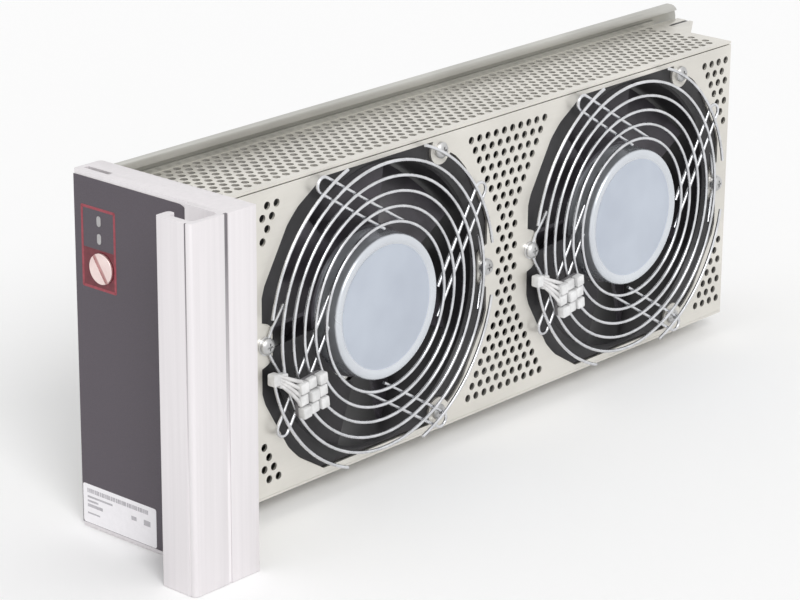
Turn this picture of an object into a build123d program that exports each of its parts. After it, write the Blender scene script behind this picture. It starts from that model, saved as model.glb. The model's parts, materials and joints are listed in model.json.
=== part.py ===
from build123d import *
import math
import os

# Server fan tray, millimetres, +Z up.
# Working frame: X = 0 is the outer face of the fan side panel and +X points out of the fans,
# +Y runs from the pull handle to the rear connector, Z = 0 is the underside of the sheet box.
# place() moves the finished pieces to the tray's own origin, under the middle of the whole tray.

# Sheet box
SHEET = 1.2
BOX_HEIGHT = 159.2
SEAT = 0.1
LIP = 4.5
FLANGE = 10.0
FLANGE_END_GAP = 12.0

# Rail wall
RAIL_RISE = 9.8
HEM_HEIGHT = 4.8
HEM_DEPTH = 3.2
HEM_ROUND = 1.4
RAIL_OVERHANG = 21.7
RAIL_CORNER = 10.0
COVER_UPTURN = 4.8

# Front bezel
BEZEL_WIDTH = 102.0
BEZEL_SIDE = 7.0
BEZEL_DEPTH = 18.0
BEZEL_OVERHANG = 10.6
BEZEL_WALL = 3.0
BEZEL_ROUND = 2.0
BOSS_RADIUS = 4.0
BOSS_INSET = 17.0
BOSS_LEFT_INSET = 42.0
BOSS_RIGHT_INSET = 10.0

# Pull handle
HANDLE_REACH = 24.0
HANDLE_WALL = 3.0
HANDLE_LIP = 4.3
HANDLE_LIP_WIDTH = 22.0
HANDLE_BEAD = 8.6
HANDLE_BEAD_WIDTH = 4.6
HANDLE_BEAD_ROUND = 1.8
HANDLE_LIP_ROUND = 1.4
HANDLE_BASE_WIDTH = 24.5
HANDLE_CORNER = 2.5
HANDLE_GROOVE = 1.0
HANDLE_GROOVE_INSET = 3.4
HANDLE_SEAM = 2.2
HANDLE_SEAM_DEPTH = 1.4
HANDLE_SCREW_RADIUS = 2.0
HANDLE_SCREW_COVER = 0.5
HANDLE_SCREW_PITCH = 50.0
HANDLE_SCREW_COUNT = 3

# Front overlay, indicators and board
OVERLAY = 0.4
OVERLAY_EDGE = 1.0
OVERLAY_MARGIN = 2.2
OVERLAY_ROUND = 6.0
LENS_INSET = 17.6
LENS_DROPS = (20.4, 11.7)
LENS_WIDTH = 2.6
LENS_HEIGHT = 5.2
LENS_PROUD = 0.2
LED_SIZE = 3.0
BOARD_WIDTH = 17.4
BOARD_HEIGHT = 19.0
BOARD = 1.6
BOARD_STANDOFF = 4.6
STANDOFF_RADIUS = 2.5

# Quarter turn lock with its sliding tongue
LOCK_INSET = 19.3
LOCK_DROP = 34.5
LOCK_HEAD_RADIUS = 7.6
LOCK_HEAD = 1.2
LOCK_HEAD_ROUND = 0.4
LOCK_SLOT_WIDTH = 2.2
LOCK_SLOT_DEPTH = 0.7
LOCK_SLOT_ANGLE = -55.0
LOCK_SHANK_RADIUS = 4.0
LOCK_CRANK = 6.2
LOCK_REST_ANGLE = 45.0
CAM_RADIUS = 8.5
CAM = 1.0
CAM_PIN_RADIUS = 1.8
TONGUE = 2.4
TONGUE_WIDTH = 16.0
TONGUE_NECK = 9.6
TONGUE_RETRACT = 1.5
TONGUE_SHOULDER_DROP = 4.7
TONGUE_FOOT = 10.0
TONGUE_RIVET_RADIUS = 1.6
TONGUE_RIVET_HEAD_RADIUS = 3.4
TONGUE_RIVET_HEAD = 1.0
TONGUE_RIVET_DROPS = (23.2, 8.7)
SLIDE_CLEAR = 0.4

# Outline of a 172 x 150 fan and of its opening, as shares of half the fan's height
FAN_SHARE = 172 / 150
CHAMFER_RUN_SHARE = 46 / 75
CHAMFER_DROP_SHARE = 28.5 / 75
OPENING_SIDE_SHARE = 83 / 75
OPENING_SIDE_HALF_SHARE = 27 / 75
OPENING_KNEE_SHARE = 22.5 / 75

# Fans
FAN_DEPTH = 51.0
FAN_BACK_ROOM = 2.7
FAN_ROOM = 4.6
FAN_WEB = 26.8
FAN_FRONT_ROOM = 40.9
FAN_REAR_ROOM = 6.1
FAN_MIDDLE_Y = 29.8
FAN_FLANGE = 4.0
FAN_BORE_EDGE = 2.0
FAN_BARREL = 1.8
FAN_INLET_CHAMFER = 1.2
FAN_LUG_INSET = 5.0
FAN_OPENING_GAP = 0.5
TAB_HEIGHT = 22.0
TAB_INSET = 10.2
TAB_ROUND = 6.0
CORNER_TAB_SHIFT = 6.0
CORNER_TAB_DROP = 5.0
CORNER_TAB_RADIUS = 7.5
CORNER_LUG_RADIUS = 5.4
STRUT_COUNT = 4
STRUT_WIDTH = 9.0
STRUT = 5.0
MOTOR_BASE_RADIUS = 37.0
MOTOR_BASE = 3.0

# Rotor, motor and bearings
HUB_RADIUS = 37.5
HUB_PROUD = 6.5
HUB_FACE = 3.0
HUB_WALL = 1.8
HUB_RIM = 5.0
HUB_RECESS = 0.8
HUB_ROUND = 1.4
HUB_SHORT = 5.0
ROTOR_BOSS_RADIUS = 8.0
ROTOR_BOSS = 8.0
CORE_RADIUS = 28.6
CORE_OVERHANG = 2.0
SHAFT_RADIUS = 4.0
BEARING_RADIUS = 10.0
BEARING_WIDTH = 7.0
BEARING_TUBE = 2.6
STATOR_RADIUS = 28.0
STATOR_SHORT = 29.0
STATOR_TEETH = 8
STATOR_SLOT_WIDTH = 7.0
STATOR_YOKE = 4.0
COIL_HEIGHT = 4.0
BLADE_COUNT = 7
BLADE = 1.8
BLADE_COLLAR_EDGE = 2.4
BLADE_CHORD_TIP = 42.0
BLADE_ANGLE_ROOT = 48.0
BLADE_ANGLE_TIP = 32.0
BLADE_TIP_GAP = 1.6
BLADE_ROOT_SINK = 3.75
BLADE_FORWARD = 0.6
COLLAR = 1.6
COLLAR_SHORT = 21.0
PRESS_GAP = 0.05
RUN_GAP = 0.3

# Wire guard
WIRE = 2.0
GUARD_STANDOFF = 2.6
GUARD_WELD = 0.3
RING_HUB_ROOM = 6.0
RING_EDGE = 0.5
RING_COUNT = 5
OUTER_ARC_START = 10.0
OUTER_ARC_END = 70.0
HAIRPIN_OFFSET = 38.4
HAIRPIN_HALF = 4.1
HAIRPIN_ANGLE = 148.0
HAIRPIN_REACH = 0.6
HAIRPIN_START = 8.0
HAIRPIN_COUNT = 4
EYELET_RADIUS = 4.6
EYELET = 1.2
EAR_ANGLE = 15.5
EAR_BEND = 0.4

# Lead plugs clipped on the guards
PLUG_INSET = 16.0
PLUG_Z = -28.5
PLUG_SIDE = 24.0
PLUG = 7.0
PLUG_CELLS = 3
PLUG_CELL = 5.0
PLUG_CELL_DEPTH = 4.5
PLUG_ROUND = 2.0

# Screws and rivets
SCREW_RADIUS = 1.9
SCREW_CLEAR = 0.25
SCREW_HEAD_RADIUS = 4.2
SCREW_HEAD = 2.4
SCREW_LENGTH = 12.0
RIVET_RADIUS = 1.5
RIVET_HEAD_RADIUS = 2.4
RIVET_HEAD = 0.8
RIVET_COUNT = 2
RIVET_SIDES = 8
RIVET_INSET = 18.0
GUIDE_RIVET_INSETS = (21.0, 7.0)
GUIDE_RIVET_DROP = 11.2

# Perforation
HOLE_SIDE = 3.6
HOLE_PITCH = 6.5
ROW_PITCH = 5.81
ROW_EDGE = 9.8
WAIST_TOP_COUNT = 10
WAIST_COUNT = 2
CORNER_COUNT = 4
CORNER_INSET = 4.6
FRONT_COUNT = 2
FRONT_INSET = 4.0
WAIST_SHIFT = -0.6
HOLE_EDGE = 2.5
TOP_MARGIN = 8.5
TOP_ROWS = 5
TOP_HOLE_SIDE = 4.0
TOP_END_MARGIN = 10.0

# Rear connector, its ribbon lead and the guide bracket
CONNECTOR_ROOM = 5.3
CONNECTOR_DROP = 9.6
CONNECTOR_FLANGE_WIDTH = 20.0
CONNECTOR_FLANGE_HEIGHT = 68.0
CONNECTOR_FLANGE = 2.0
SHROUD_WIDTH = 14.0
SHROUD_HEIGHT = 52.0
SHROUD_DEPTH = 12.6
SHROUD_WALL = 1.6
CONNECTOR_BODY_WIDTH = 10.0
CONNECTOR_BODY_HEIGHT = 46.0
CONNECTOR_BODY_DEPTH = 13.5
CONTACT_SIDE = 2.0
CONTACT_COUNT = 6
CONTACT_PITCH = 7.0
CONTACT_SHORT = 2.0
RIBBON_WIDTH = 12.0
RIBBON = 1.4
RIBBON_BEND = 4.0
RIBBON_FRONT_GAP = 6.0
GUIDE_ROOT_WIDTH = 27.0
GUIDE_TIP_WIDTH = 12.5
GUIDE_SLOT_INSET = 8.8
GUIDE_SLOT_WIDTH = 2.6
GUIDE_SLOT_START = 4.6
GUIDE_LEFT_GAP = 1.6
GUIDE_FLANGE = 18.0

# Derived sizes: the fans fill the box's height, and the box is as long and deep as they need
FAN_HALF_HEIGHT = BOX_HEIGHT / 2 - FAN_ROOM
FAN_RADIUS = FAN_HALF_HEIGHT * FAN_SHARE
FAN_CHAMFER_RUN = FAN_HALF_HEIGHT * CHAMFER_RUN_SHARE
FAN_CHAMFER_DROP = FAN_HALF_HEIGHT * CHAMFER_DROP_SHARE
FAN_FLAT_HALF = FAN_RADIUS - FAN_CHAMFER_RUN
FAN_BORE_RADIUS = FAN_HALF_HEIGHT - FAN_BORE_EDGE
FAN_LUG_REACH = FAN_RADIUS - FAN_LUG_INSET
FAN_PITCH = 2 * FAN_RADIUS + FAN_WEB
FAN_CENTRES = (FAN_MIDDLE_Y - FAN_PITCH / 2, FAN_MIDDLE_Y + FAN_PITCH / 2)
TAB_REACH = FAN_RADIUS - TAB_INSET
CORNER_TAB_Y = FAN_FLAT_HALF + CORNER_TAB_SHIFT
CORNER_TAB_Z = FAN_HALF_HEIGHT - CORNER_TAB_DROP
HUB_LENGTH = FAN_DEPTH - HUB_SHORT
STATOR_LENGTH = FAN_DEPTH - STATOR_SHORT
CORE_LENGTH = STATOR_LENGTH + CORE_OVERHANG
COLLAR_LENGTH = FAN_DEPTH - COLLAR_SHORT
RING_FIRST = HUB_RADIUS + RING_HUB_ROOM
RING_PITCH = (FAN_HALF_HEIGHT - RING_EDGE - RING_FIRST) / (RING_COUNT - 1)
HAIRPIN_END = FAN_HALF_HEIGHT + HAIRPIN_REACH
PLUG_Y = PLUG_INSET - FAN_HALF_HEIGHT
ROW_COUNT = 2 * int((BOX_HEIGHT / 2 - ROW_EDGE) / ROW_PITCH) + 1

# Derived places
BOX_FRONT = FAN_CENTRES[0] - FAN_RADIUS - FAN_FRONT_ROOM
BOX_REAR = FAN_CENTRES[1] + FAN_RADIUS + FAN_REAR_ROOM
BOX_LENGTH = BOX_REAR - BOX_FRONT
BOX_WIDTH = SHEET + SEAT + FAN_DEPTH + FAN_BACK_ROOM
BOX_LEFT = -BOX_WIDTH
WALL_OUT = BOX_LEFT - SHEET
TRAY_REAR = BOX_REAR + RAIL_OVERHANG
BEZEL_LEFT = BOX_LEFT - BEZEL_SIDE
BEZEL_RIGHT = BEZEL_LEFT + BEZEL_WIDTH
BEZEL_FRONT = BOX_FRONT - BEZEL_DEPTH
BEZEL_BOTTOM = -BEZEL_OVERHANG
BEZEL_TOP = BOX_HEIGHT + BEZEL_OVERHANG
BEZEL_INSIDE = BEZEL_FRONT + BEZEL_WALL
HANDLE_FRONT = BEZEL_FRONT - HANDLE_REACH
HANDLE_BASE_LEFT = BEZEL_RIGHT - HANDLE_BASE_WIDTH
BULKHEAD_REAR = BOX_FRONT - SEAT
FAN_Z = BOX_HEIGHT / 2
FAN_FACE = -SHEET - SEAT
FAN_BACK = FAN_FACE - FAN_DEPTH
HUB_BACK = HUB_PROUD - HUB_LENGTH
BLADE_MIDDLE = (FAN_FACE + FAN_BACK + STRUT + BLADE_FORWARD) / 2
RING_FRONT = GUARD_STANDOFF + 2 * WIRE - GUARD_WELD
PANEL_BOTTOM = SHEET + SEAT
PANEL_TOP = BOX_HEIGHT - SHEET - SEAT
LENS_X = BEZEL_LEFT + LENS_INSET
LENS_HEIGHTS = [BOX_HEIGHT - drop for drop in LENS_DROPS]
LOCK_X = BEZEL_LEFT + LOCK_INSET
LOCK_Z = BOX_HEIGHT - LOCK_DROP
CAM_FRONT = BEZEL_INSIDE + RUN_GAP
TONGUE_FRONT = CAM_FRONT + CAM + RUN_GAP
TONGUE_REAR = TONGUE_FRONT + TONGUE
TONGUE_LEFT = BEZEL_LEFT + BEZEL_WALL + SLIDE_CLEAR
TONGUE_SHOULDER_Z = BOX_HEIGHT - TONGUE_SHOULDER_DROP
TONGUE_RIVET_HEIGHTS = [BOX_HEIGHT - drop for drop in TONGUE_RIVET_DROPS]
LOCK_TRAVEL = 2 * LOCK_CRANK * math.sin(math.radians(LOCK_REST_ANGLE))
PIN_X = LOCK_X - LOCK_CRANK * math.cos(math.radians(LOCK_REST_ANGLE))
PIN_Z = LOCK_Z - LOCK_CRANK * math.sin(math.radians(LOCK_REST_ANGLE))
BOARD_FRONT = BEZEL_INSIDE + BOARD_STANDOFF
BOARD_Z = sum(LENS_HEIGHTS) / len(LENS_HEIGHTS)
BOARD_LEFT = LENS_X - LENS_WIDTH
CONNECTOR_X = FAN_BACK + FAN_FLANGE + CONNECTOR_ROOM + CONNECTOR_BODY_WIDTH / 2
CONNECTOR_Z = FAN_Z - CONNECTOR_DROP
CONNECTOR_BACK = BOX_REAR - CONNECTOR_BODY_DEPTH
GUIDE_ROOT_X = BOX_LEFT + GUIDE_ROOT_WIDTH
GUIDE_TIP_X = BOX_LEFT + GUIDE_TIP_WIDTH
GUIDE_SLOT_X = BOX_LEFT + GUIDE_SLOT_INSET
GUIDE_RIVETS = [(BOX_LEFT + inset, BOX_HEIGHT - GUIDE_RIVET_DROP) for inset in GUIDE_RIVET_INSETS]
STATOR_BACK = HUB_BACK + MOTOR_BASE
BEARING_FRONT = STATOR_BACK + STATOR_LENGTH + STRUT
RIVET_LOW = FLANGE_END_GAP + RIVET_INSET
RIVET_PITCH = (BOX_HEIGHT - 2 * RIVET_LOW) / (RIVET_COUNT - 1)
RIVET_HEIGHTS = [RIVET_LOW + i * RIVET_PITCH for i in range(RIVET_COUNT)]
ORIGIN = Vector((BEZEL_LEFT + BEZEL_RIGHT) / 2, (HANDLE_FRONT + TRAY_REAR) / 2, BEZEL_BOTTOM)


def rect(u0, u1, v0, v1):
    return Pos((u0 + u1) / 2, (v0 + v1) / 2) * Rectangle(u1 - u0, v1 - v0)


def along_x(sketch, x0, x1):
    return extrude(Plane.YZ.offset(x0) * sketch, amount=x1 - x0)


def along_y(sketch, y0, y1):
    return extrude(Plane.XZ.offset(-y1) * sketch, amount=y1 - y0)


def along_z(sketch, z0, z1):
    return extrude(Plane.XY.offset(z0) * sketch, amount=z1 - z0)


def place(node, *solids):
    """Write one node: its solids, moved to the tray's origin."""
    moved = [Pos(-ORIGIN.X, -ORIGIN.Y, -ORIGIN.Z) * solid for shape in solids for solid in shape.solids()]
    body = moved[0] if len(moved) == 1 else Compound(moved)
    export_step(body, os.path.join("parts", node + ".step"))


def square(u, v, side):
    """Four sided hole, the light form of the sheet's punched perforation."""
    half = side / 2
    turns = ((1, 1), (-1, 1), (-1, -1), (1, -1))
    return Wire.make_polygon([Vector(u + i * half, v + j * half) for i, j in turns])


def fan_outline(gap):
    """Round sides, flat top and bottom and cut corners, as on a 172 x 150 fan frame."""
    radius = FAN_RADIUS + gap
    half = FAN_HALF_HEIGHT + gap
    low = half - FAN_CHAMFER_DROP
    corners = [
        (FAN_FLAT_HALF, half), (-FAN_FLAT_HALF, half), (-radius, low), (-radius, -low),
        (-FAN_FLAT_HALF, -half), (FAN_FLAT_HALF, -half), (radius, -low), (radius, low),
    ]
    return Circle(radius) & Polygon(*corners, align=None)


def lug_points():
    return [(-FAN_LUG_REACH, 0), (FAN_LUG_REACH, 0)]


def corner_points():
    return [(CORNER_TAB_Y, CORNER_TAB_Z), (CORNER_TAB_Y, -CORNER_TAB_Z)]


def opening_corners():
    """Corners of a quarter of the panel's opening, from its flat top round to its straight side."""
    top = FAN_HALF_HEIGHT + FAN_OPENING_GAP
    knee = FAN_HALF_HEIGHT * OPENING_KNEE_SHARE
    drop = knee * FAN_CHAMFER_DROP / FAN_CHAMFER_RUN
    side = (FAN_HALF_HEIGHT * OPENING_SIDE_SHARE, FAN_HALF_HEIGHT * OPENING_SIDE_HALF_SHARE)
    return [(FAN_FLAT_HALF, top), (FAN_FLAT_HALF + knee, top - drop), side]


def fan_opening():
    """Twelve sided opening in the side panel, with the tabs that carry the fan screws."""
    quarter = opening_corners()
    corners = [(y, -z) for y, z in quarter] + quarter[::-1]
    corners += [(-y, -z) for y, z in corners]
    opening = Polygon(*corners, align=None)
    reach = FAN_RADIUS + FAN_OPENING_GAP + TAB_ROUND
    tab = fillet(rect(TAB_REACH, reach + TAB_ROUND, -TAB_HEIGHT / 2, TAB_HEIGHT / 2).vertices(), TAB_ROUND)
    opening -= tab
    opening -= mirror(tab, about=Plane.YZ)
    for y, z in corner_points():
        opening -= Pos(y, z) * Circle(CORNER_TAB_RADIUS)
    return opening.face().outer_wire()


def clear_of_fan(y, z):
    """True where a hole leaves a sound edge between itself and the fan opening."""
    room = HOLE_SIDE / 2 + HOLE_EDGE + FAN_OPENING_GAP
    slope = math.hypot(FAN_CHAMFER_RUN, FAN_CHAMFER_DROP)
    past_corner = (y - FAN_FLAT_HALF) * FAN_CHAMFER_DROP + (z - FAN_HALF_HEIGHT) * FAN_CHAMFER_RUN
    return math.hypot(y, z) > FAN_RADIUS + room or past_corner > room * slope


def wedge_holes(row, height):
    """Places of one row's holes in the front and rear corners of the panel."""
    rear = [BOX_REAR - CORNER_INSET - (i + row % 2 / 2) * HOLE_PITCH for i in range(CORNER_COUNT)]
    rear = [y for y in rear if clear_of_fan(y - FAN_CENTRES[1], abs(height))]
    first = FAN_CENTRES[0] - FAN_RADIUS + FRONT_INSET
    front = [first + (i + (row + 1) % 2 / 2) * HOLE_PITCH for i in range(FRONT_COUNT - row // 2)]
    return front + rear


def panel_holes():
    """Staggered perforation: a waisted field between the fans and a wedge in each corner."""
    wires = []
    waist = FAN_MIDDLE_Y + WAIST_SHIFT
    for row in range(ROW_COUNT):
        height = ((ROW_COUNT - 1) / 2 - row) * ROW_PITCH
        z = FAN_Z + height
        edge_row = min(row, ROW_COUNT - 1 - row)
        count = max(WAIST_TOP_COUNT - edge_row, WAIST_COUNT + edge_row % 2)
        places = [waist + (i - (count - 1) / 2) * HOLE_PITCH for i in range(count)]
        wires += [square(y, z, HOLE_SIDE) for y in places + wedge_holes(edge_row, height)]
    return wires


def round_holes(centres, radius, y0, y1):
    return [along_y(Pos(x, z) * Circle(radius), y0, y1) for x, z in centres]


def fan_side_panel():
    outline = rect(BOX_FRONT + SEAT, BOX_REAR, PANEL_BOTTOM, PANEL_TOP).face().outer_wire()
    openings = [Pos(y, FAN_Z) * fan_opening() for y in FAN_CENTRES]
    panel = along_x(Face(outline, openings + panel_holes()), -SHEET, 0)
    for z0 in (PANEL_BOTTOM, PANEL_TOP - SHEET):
        lip = rect(-SHEET - LIP, -SHEET, BOX_FRONT + FLANGE_END_GAP, BOX_REAR - FLANGE_END_GAP)
        panel += along_z(lip, z0, z0 + SHEET)
    flange = rect(-SHEET - FLANGE, -SHEET, FLANGE_END_GAP, BOX_HEIGHT - FLANGE_END_GAP)
    panel += along_y(flange, BOX_FRONT + SEAT, BOX_FRONT + SEAT + SHEET)
    screws = [(c + y, FAN_Z + z) for c in FAN_CENTRES for y, z in lug_points() + corner_points()]
    for y, z in screws:
        panel -= along_x(Pos(y, z) * Circle(SCREW_RADIUS + SCREW_CLEAR), -2 * SHEET, SHEET)
    return panel - round_holes(side_rivets(), RIVET_RADIUS + SEAT, BOX_FRONT, BOX_FRONT + 2 * SHEET)


def side_rivets():
    return [(-SHEET - FLANGE / 2, z) for z in RIVET_HEIGHTS]


def wall_rivets():
    return [(BOX_LEFT + FLANGE / 2, z) for z in RIVET_HEIGHTS]


def top_cover():
    """Perforated lid with its left edge turned up against the rail wall."""
    left = BOX_LEFT + SEAT
    length = BOX_LENGTH - 2 * TOP_END_MARGIN
    columns = int(length / (2 * HOLE_PITCH))
    row_pitch = (BOX_WIDTH - 2 * TOP_MARGIN) / (TOP_ROWS - 1)
    wires = []
    for row in range(TOP_ROWS):
        for column in range(columns):
            y = BOX_FRONT + TOP_END_MARGIN + (2 * column + 1 + row % 2) * HOLE_PITCH
            wires.append(square(-TOP_MARGIN - row * row_pitch, y, TOP_HOLE_SIDE))
    outline = rect(left, 0, BOX_FRONT + SEAT, BOX_REAR).face().outer_wire()
    cover = along_z(Face(outline, wires), BOX_HEIGHT - SHEET, BOX_HEIGHT)
    upturn = rect(left, left + SHEET, BOX_FRONT + SEAT, BOX_REAR)
    return cover + along_z(upturn, BOX_HEIGHT - SHEET, BOX_HEIGHT + COVER_UPTURN)


def bottom_plate():
    left = BOX_LEFT + SEAT
    plate = along_z(rect(left, 0, BOX_FRONT + SEAT, BOX_REAR), 0, SHEET)
    downturn = rect(left, left + SHEET, BOX_FRONT + SEAT, BOX_REAR)
    return plate + along_z(downturn, -COVER_UPTURN, SHEET)


def rail_wall():
    """Full length wall; its hemmed edges are the slides that run in the chassis guides."""
    low = -RAIL_RISE
    high = BOX_HEIGHT + RAIL_RISE
    profile = rect(WALL_OUT, BOX_LEFT, low, high)
    for z0 in (low, high - HEM_HEIGHT):
        profile += rect(WALL_OUT, WALL_OUT + HEM_DEPTH, z0, z0 + HEM_HEIGHT)
    edges = [v for v in profile.vertices() if abs(v.Y - FAN_Z) > (high - low) / 2 - SEAT]
    wall = along_y(fillet(edges, HEM_ROUND), BOX_FRONT + SEAT, TRAY_REAR)
    side = rect(BOX_FRONT, TRAY_REAR, low, high)
    rear = [v for v in side.vertices() if v.X > BOX_REAR]
    side = fillet(rear, RAIL_CORNER)
    for y in FAN_CENTRES:
        side -= Pos(y, FAN_Z) * Circle(FAN_BORE_RADIUS)
    wall &= along_x(side, WALL_OUT, WALL_OUT + HEM_DEPTH)
    flange = rect(BOX_LEFT, BOX_LEFT + FLANGE, FLANGE_END_GAP, BOX_HEIGHT - FLANGE_END_GAP)
    wall += along_y(flange, BOX_FRONT + SEAT, BOX_FRONT + SEAT + SHEET)
    return wall - round_holes(wall_rivets(), RIVET_RADIUS + SEAT, BOX_FRONT, BOX_FRONT + 2 * SHEET)


def rear_plate():
    plate = rect(BOX_LEFT + SEAT, -SHEET - SEAT, PANEL_BOTTOM, PANEL_TOP)
    plate -= Pos(CONNECTOR_X, CONNECTOR_Z) * Rectangle(
        CONNECTOR_BODY_WIDTH + 2 * SEAT, CONNECTOR_BODY_HEIGHT + 2 * SEAT)
    for x, z in GUIDE_RIVETS:
        plate -= Pos(x, z) * Circle(RIVET_RADIUS + SEAT)
    return along_y(plate, BOX_REAR - SHEET, BOX_REAR)


def guide_bracket():
    """Slotted tongue behind the box that finds the pin in the chassis, on its riveted flange."""
    left = BOX_LEFT + GUIDE_LEFT_GAP
    root = BOX_REAR + SEAT
    corners = [(left, root), (GUIDE_ROOT_X, root), (GUIDE_TIP_X, TRAY_REAR), (left, TRAY_REAR)]
    tongue = Polygon(*corners, align=None)
    half = GUIDE_SLOT_WIDTH / 2
    tongue -= rect(GUIDE_SLOT_X - half, GUIDE_SLOT_X + half, BOX_REAR + GUIDE_SLOT_START, TRAY_REAR + SHEET)
    bracket = along_z(tongue, BOX_HEIGHT - SHEET, BOX_HEIGHT)
    flange = rect(left, GUIDE_ROOT_X, BOX_HEIGHT - SHEET - GUIDE_FLANGE, BOX_HEIGHT - SHEET)
    for x, z in GUIDE_RIVETS:
        flange -= Pos(x, z) * Circle(RIVET_RADIUS + SEAT)
    return bracket + along_y(flange, root, root + SHEET)


def boss_points():
    columns = (BEZEL_LEFT + BOSS_LEFT_INSET, BEZEL_RIGHT - BOSS_RIGHT_INSET)
    return [(x, z) for x in columns for z in (BEZEL_BOTTOM + BOSS_INSET, BEZEL_TOP - BOSS_INSET)]


def handle_screw_points():
    x = BEZEL_RIGHT - HANDLE_BASE_WIDTH / 2
    middle = (HANDLE_SCREW_COUNT - 1) / 2
    return [(x, FAN_Z + (i - middle) * HANDLE_SCREW_PITCH) for i in range(HANDLE_SCREW_COUNT)]


def standoff_points():
    x = BOARD_LEFT + BOARD_WIDTH - STANDOFF_RADIUS
    offset = BOARD_HEIGHT / 2 - STANDOFF_RADIUS
    return [(x, BOARD_Z - offset), (x, BOARD_Z + offset)]


def lens_shape(gap):
    return Rot(0, 0, 90) * SlotOverall(LENS_HEIGHT + 2 * gap, LENS_WIDTH + 2 * gap)


def front_bezel():
    """Open backed aluminium front with screw bosses, board posts, windows and the tongue slot."""
    outline = rect(BEZEL_LEFT, BEZEL_RIGHT, BEZEL_FRONT, BOX_FRONT)
    left_corners = [v for v in outline.vertices() if v.X < 0]
    bezel = along_z(fillet(left_corners, BEZEL_ROUND), BEZEL_BOTTOM, BEZEL_TOP)
    pocket = rect(
        BEZEL_LEFT + BEZEL_WALL, BEZEL_RIGHT - BEZEL_WALL, BEZEL_BOTTOM + BEZEL_WALL, BEZEL_TOP - BEZEL_WALL)
    bezel -= along_y(pocket, BEZEL_INSIDE, BOX_FRONT)
    for x, z in boss_points():
        bezel += along_y(Pos(x, z) * Circle(BOSS_RADIUS), BEZEL_INSIDE - SEAT, BULKHEAD_REAR - SHEET - SEAT)
        bezel -= along_y(
            Pos(x, z) * Circle(SCREW_RADIUS + SEAT), BULKHEAD_REAR - SCREW_LENGTH - SEAT, BULKHEAD_REAR)
    for x, z in standoff_points():
        bezel += along_y(Pos(x, z) * Circle(STANDOFF_RADIUS), BEZEL_INSIDE - SEAT, BOARD_FRONT - SEAT)
    for z in LENS_HEIGHTS:
        bezel -= along_y(Pos(LENS_X, z) * lens_shape(SEAT), BEZEL_FRONT - SEAT, BEZEL_INSIDE + SEAT)
    cuts = [(LOCK_X, LOCK_Z, LOCK_SHANK_RADIUS + RUN_GAP)]
    cuts += [(x, z, HANDLE_SCREW_RADIUS + SEAT) for x, z in handle_screw_points()]
    for x, z, radius in cuts:
        bezel -= along_y(Pos(x, z) * Circle(radius), BEZEL_FRONT - SEAT, BEZEL_INSIDE + SEAT)
    slot = rect(
        TONGUE_LEFT - RUN_GAP, TONGUE_LEFT + TONGUE_WIDTH + RUN_GAP,
        TONGUE_FRONT - RUN_GAP, TONGUE_REAR + RUN_GAP)
    return bezel - along_z(slot, BEZEL_TOP - BEZEL_WALL - SEAT, BEZEL_TOP + SEAT)


def front_bulkhead():
    edge = BEZEL_WALL + SEAT
    plate = rect(BEZEL_LEFT + edge, BEZEL_RIGHT - edge, BEZEL_BOTTOM + edge, BEZEL_TOP - edge)
    for x, z in side_rivets() + wall_rivets():
        plate -= Pos(x, z) * Circle(RIVET_RADIUS + SEAT)
    for x, z in boss_points():
        plate -= Pos(x, z) * Circle(SCREW_RADIUS + SEAT)
    plate -= Pos(CONNECTOR_X, BOARD_Z) * Rectangle(RIBBON_WIDTH + 2 * SLIDE_CLEAR, RIBBON + 2 * SLIDE_CLEAR)
    return along_y(plate, BULKHEAD_REAR - SHEET, BULKHEAD_REAR)


def pull_handle():
    """J shaped grip extrusion: base on the bezel, side wall, and a lip that ends in a bead."""
    back = BEZEL_FRONT - SEAT
    base_front = back - HANDLE_WALL
    wall_x = BEZEL_RIGHT - HANDLE_WALL
    lip_end = BEZEL_RIGHT - HANDLE_LIP_WIDTH
    lip_back = HANDLE_FRONT + HANDLE_LIP
    bead_back = HANDLE_FRONT + HANDLE_BEAD
    bead_x = lip_end + HANDLE_BEAD_WIDTH
    outline = [
        (HANDLE_BASE_LEFT, back), (HANDLE_BASE_LEFT, base_front), (wall_x, base_front), (wall_x, lip_back),
        (bead_x, lip_back), (bead_x, bead_back), (lip_end, bead_back), (lip_end, HANDLE_FRONT),
        (BEZEL_RIGHT, HANDLE_FRONT), (BEZEL_RIGHT, back - HANDLE_SEAM),
        (BEZEL_RIGHT - HANDLE_SEAM_DEPTH, back - HANDLE_SEAM), (BEZEL_RIGHT - HANDLE_SEAM_DEPTH, back),
    ]
    rounds = (
        (wall_x, base_front, HANDLE_CORNER), (wall_x, lip_back, HANDLE_CORNER),
        (bead_x, bead_back, HANDLE_BEAD_ROUND), (lip_end, bead_back, HANDLE_BEAD_ROUND),
        (lip_end, HANDLE_FRONT, HANDLE_LIP_ROUND), (BEZEL_RIGHT, HANDLE_FRONT, HANDLE_CORNER),
    )
    profile = Polygon(*outline, align=None)
    for x, y, radius in rounds:
        profile = fillet(profile.vertices().sort_by_distance((x, y, 0))[0], radius)
    groove_x = BEZEL_RIGHT - HANDLE_GROOVE_INSET
    profile -= Pos(groove_x, HANDLE_FRONT) * Rectangle(HANDLE_GROOVE, 2 * HANDLE_GROOVE)
    handle = along_z(profile, BEZEL_BOTTOM, BEZEL_TOP)
    for x, z in handle_screw_points():
        hole = Pos(x, z) * Circle(HANDLE_SCREW_RADIUS + SEAT)
        handle -= along_y(hole, base_front + HANDLE_SCREW_COVER, back + SEAT)
    return handle


def screw_y(x, z, radius, head_radius, head, seat_y, length):
    """Screw along Y with its head behind seat_y and its shank running forwards."""
    screw = along_y(Pos(x, z) * Circle(head_radius), seat_y, seat_y + head)
    return screw + along_y(Pos(x, z) * Circle(radius), seat_y - length, seat_y)


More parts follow.
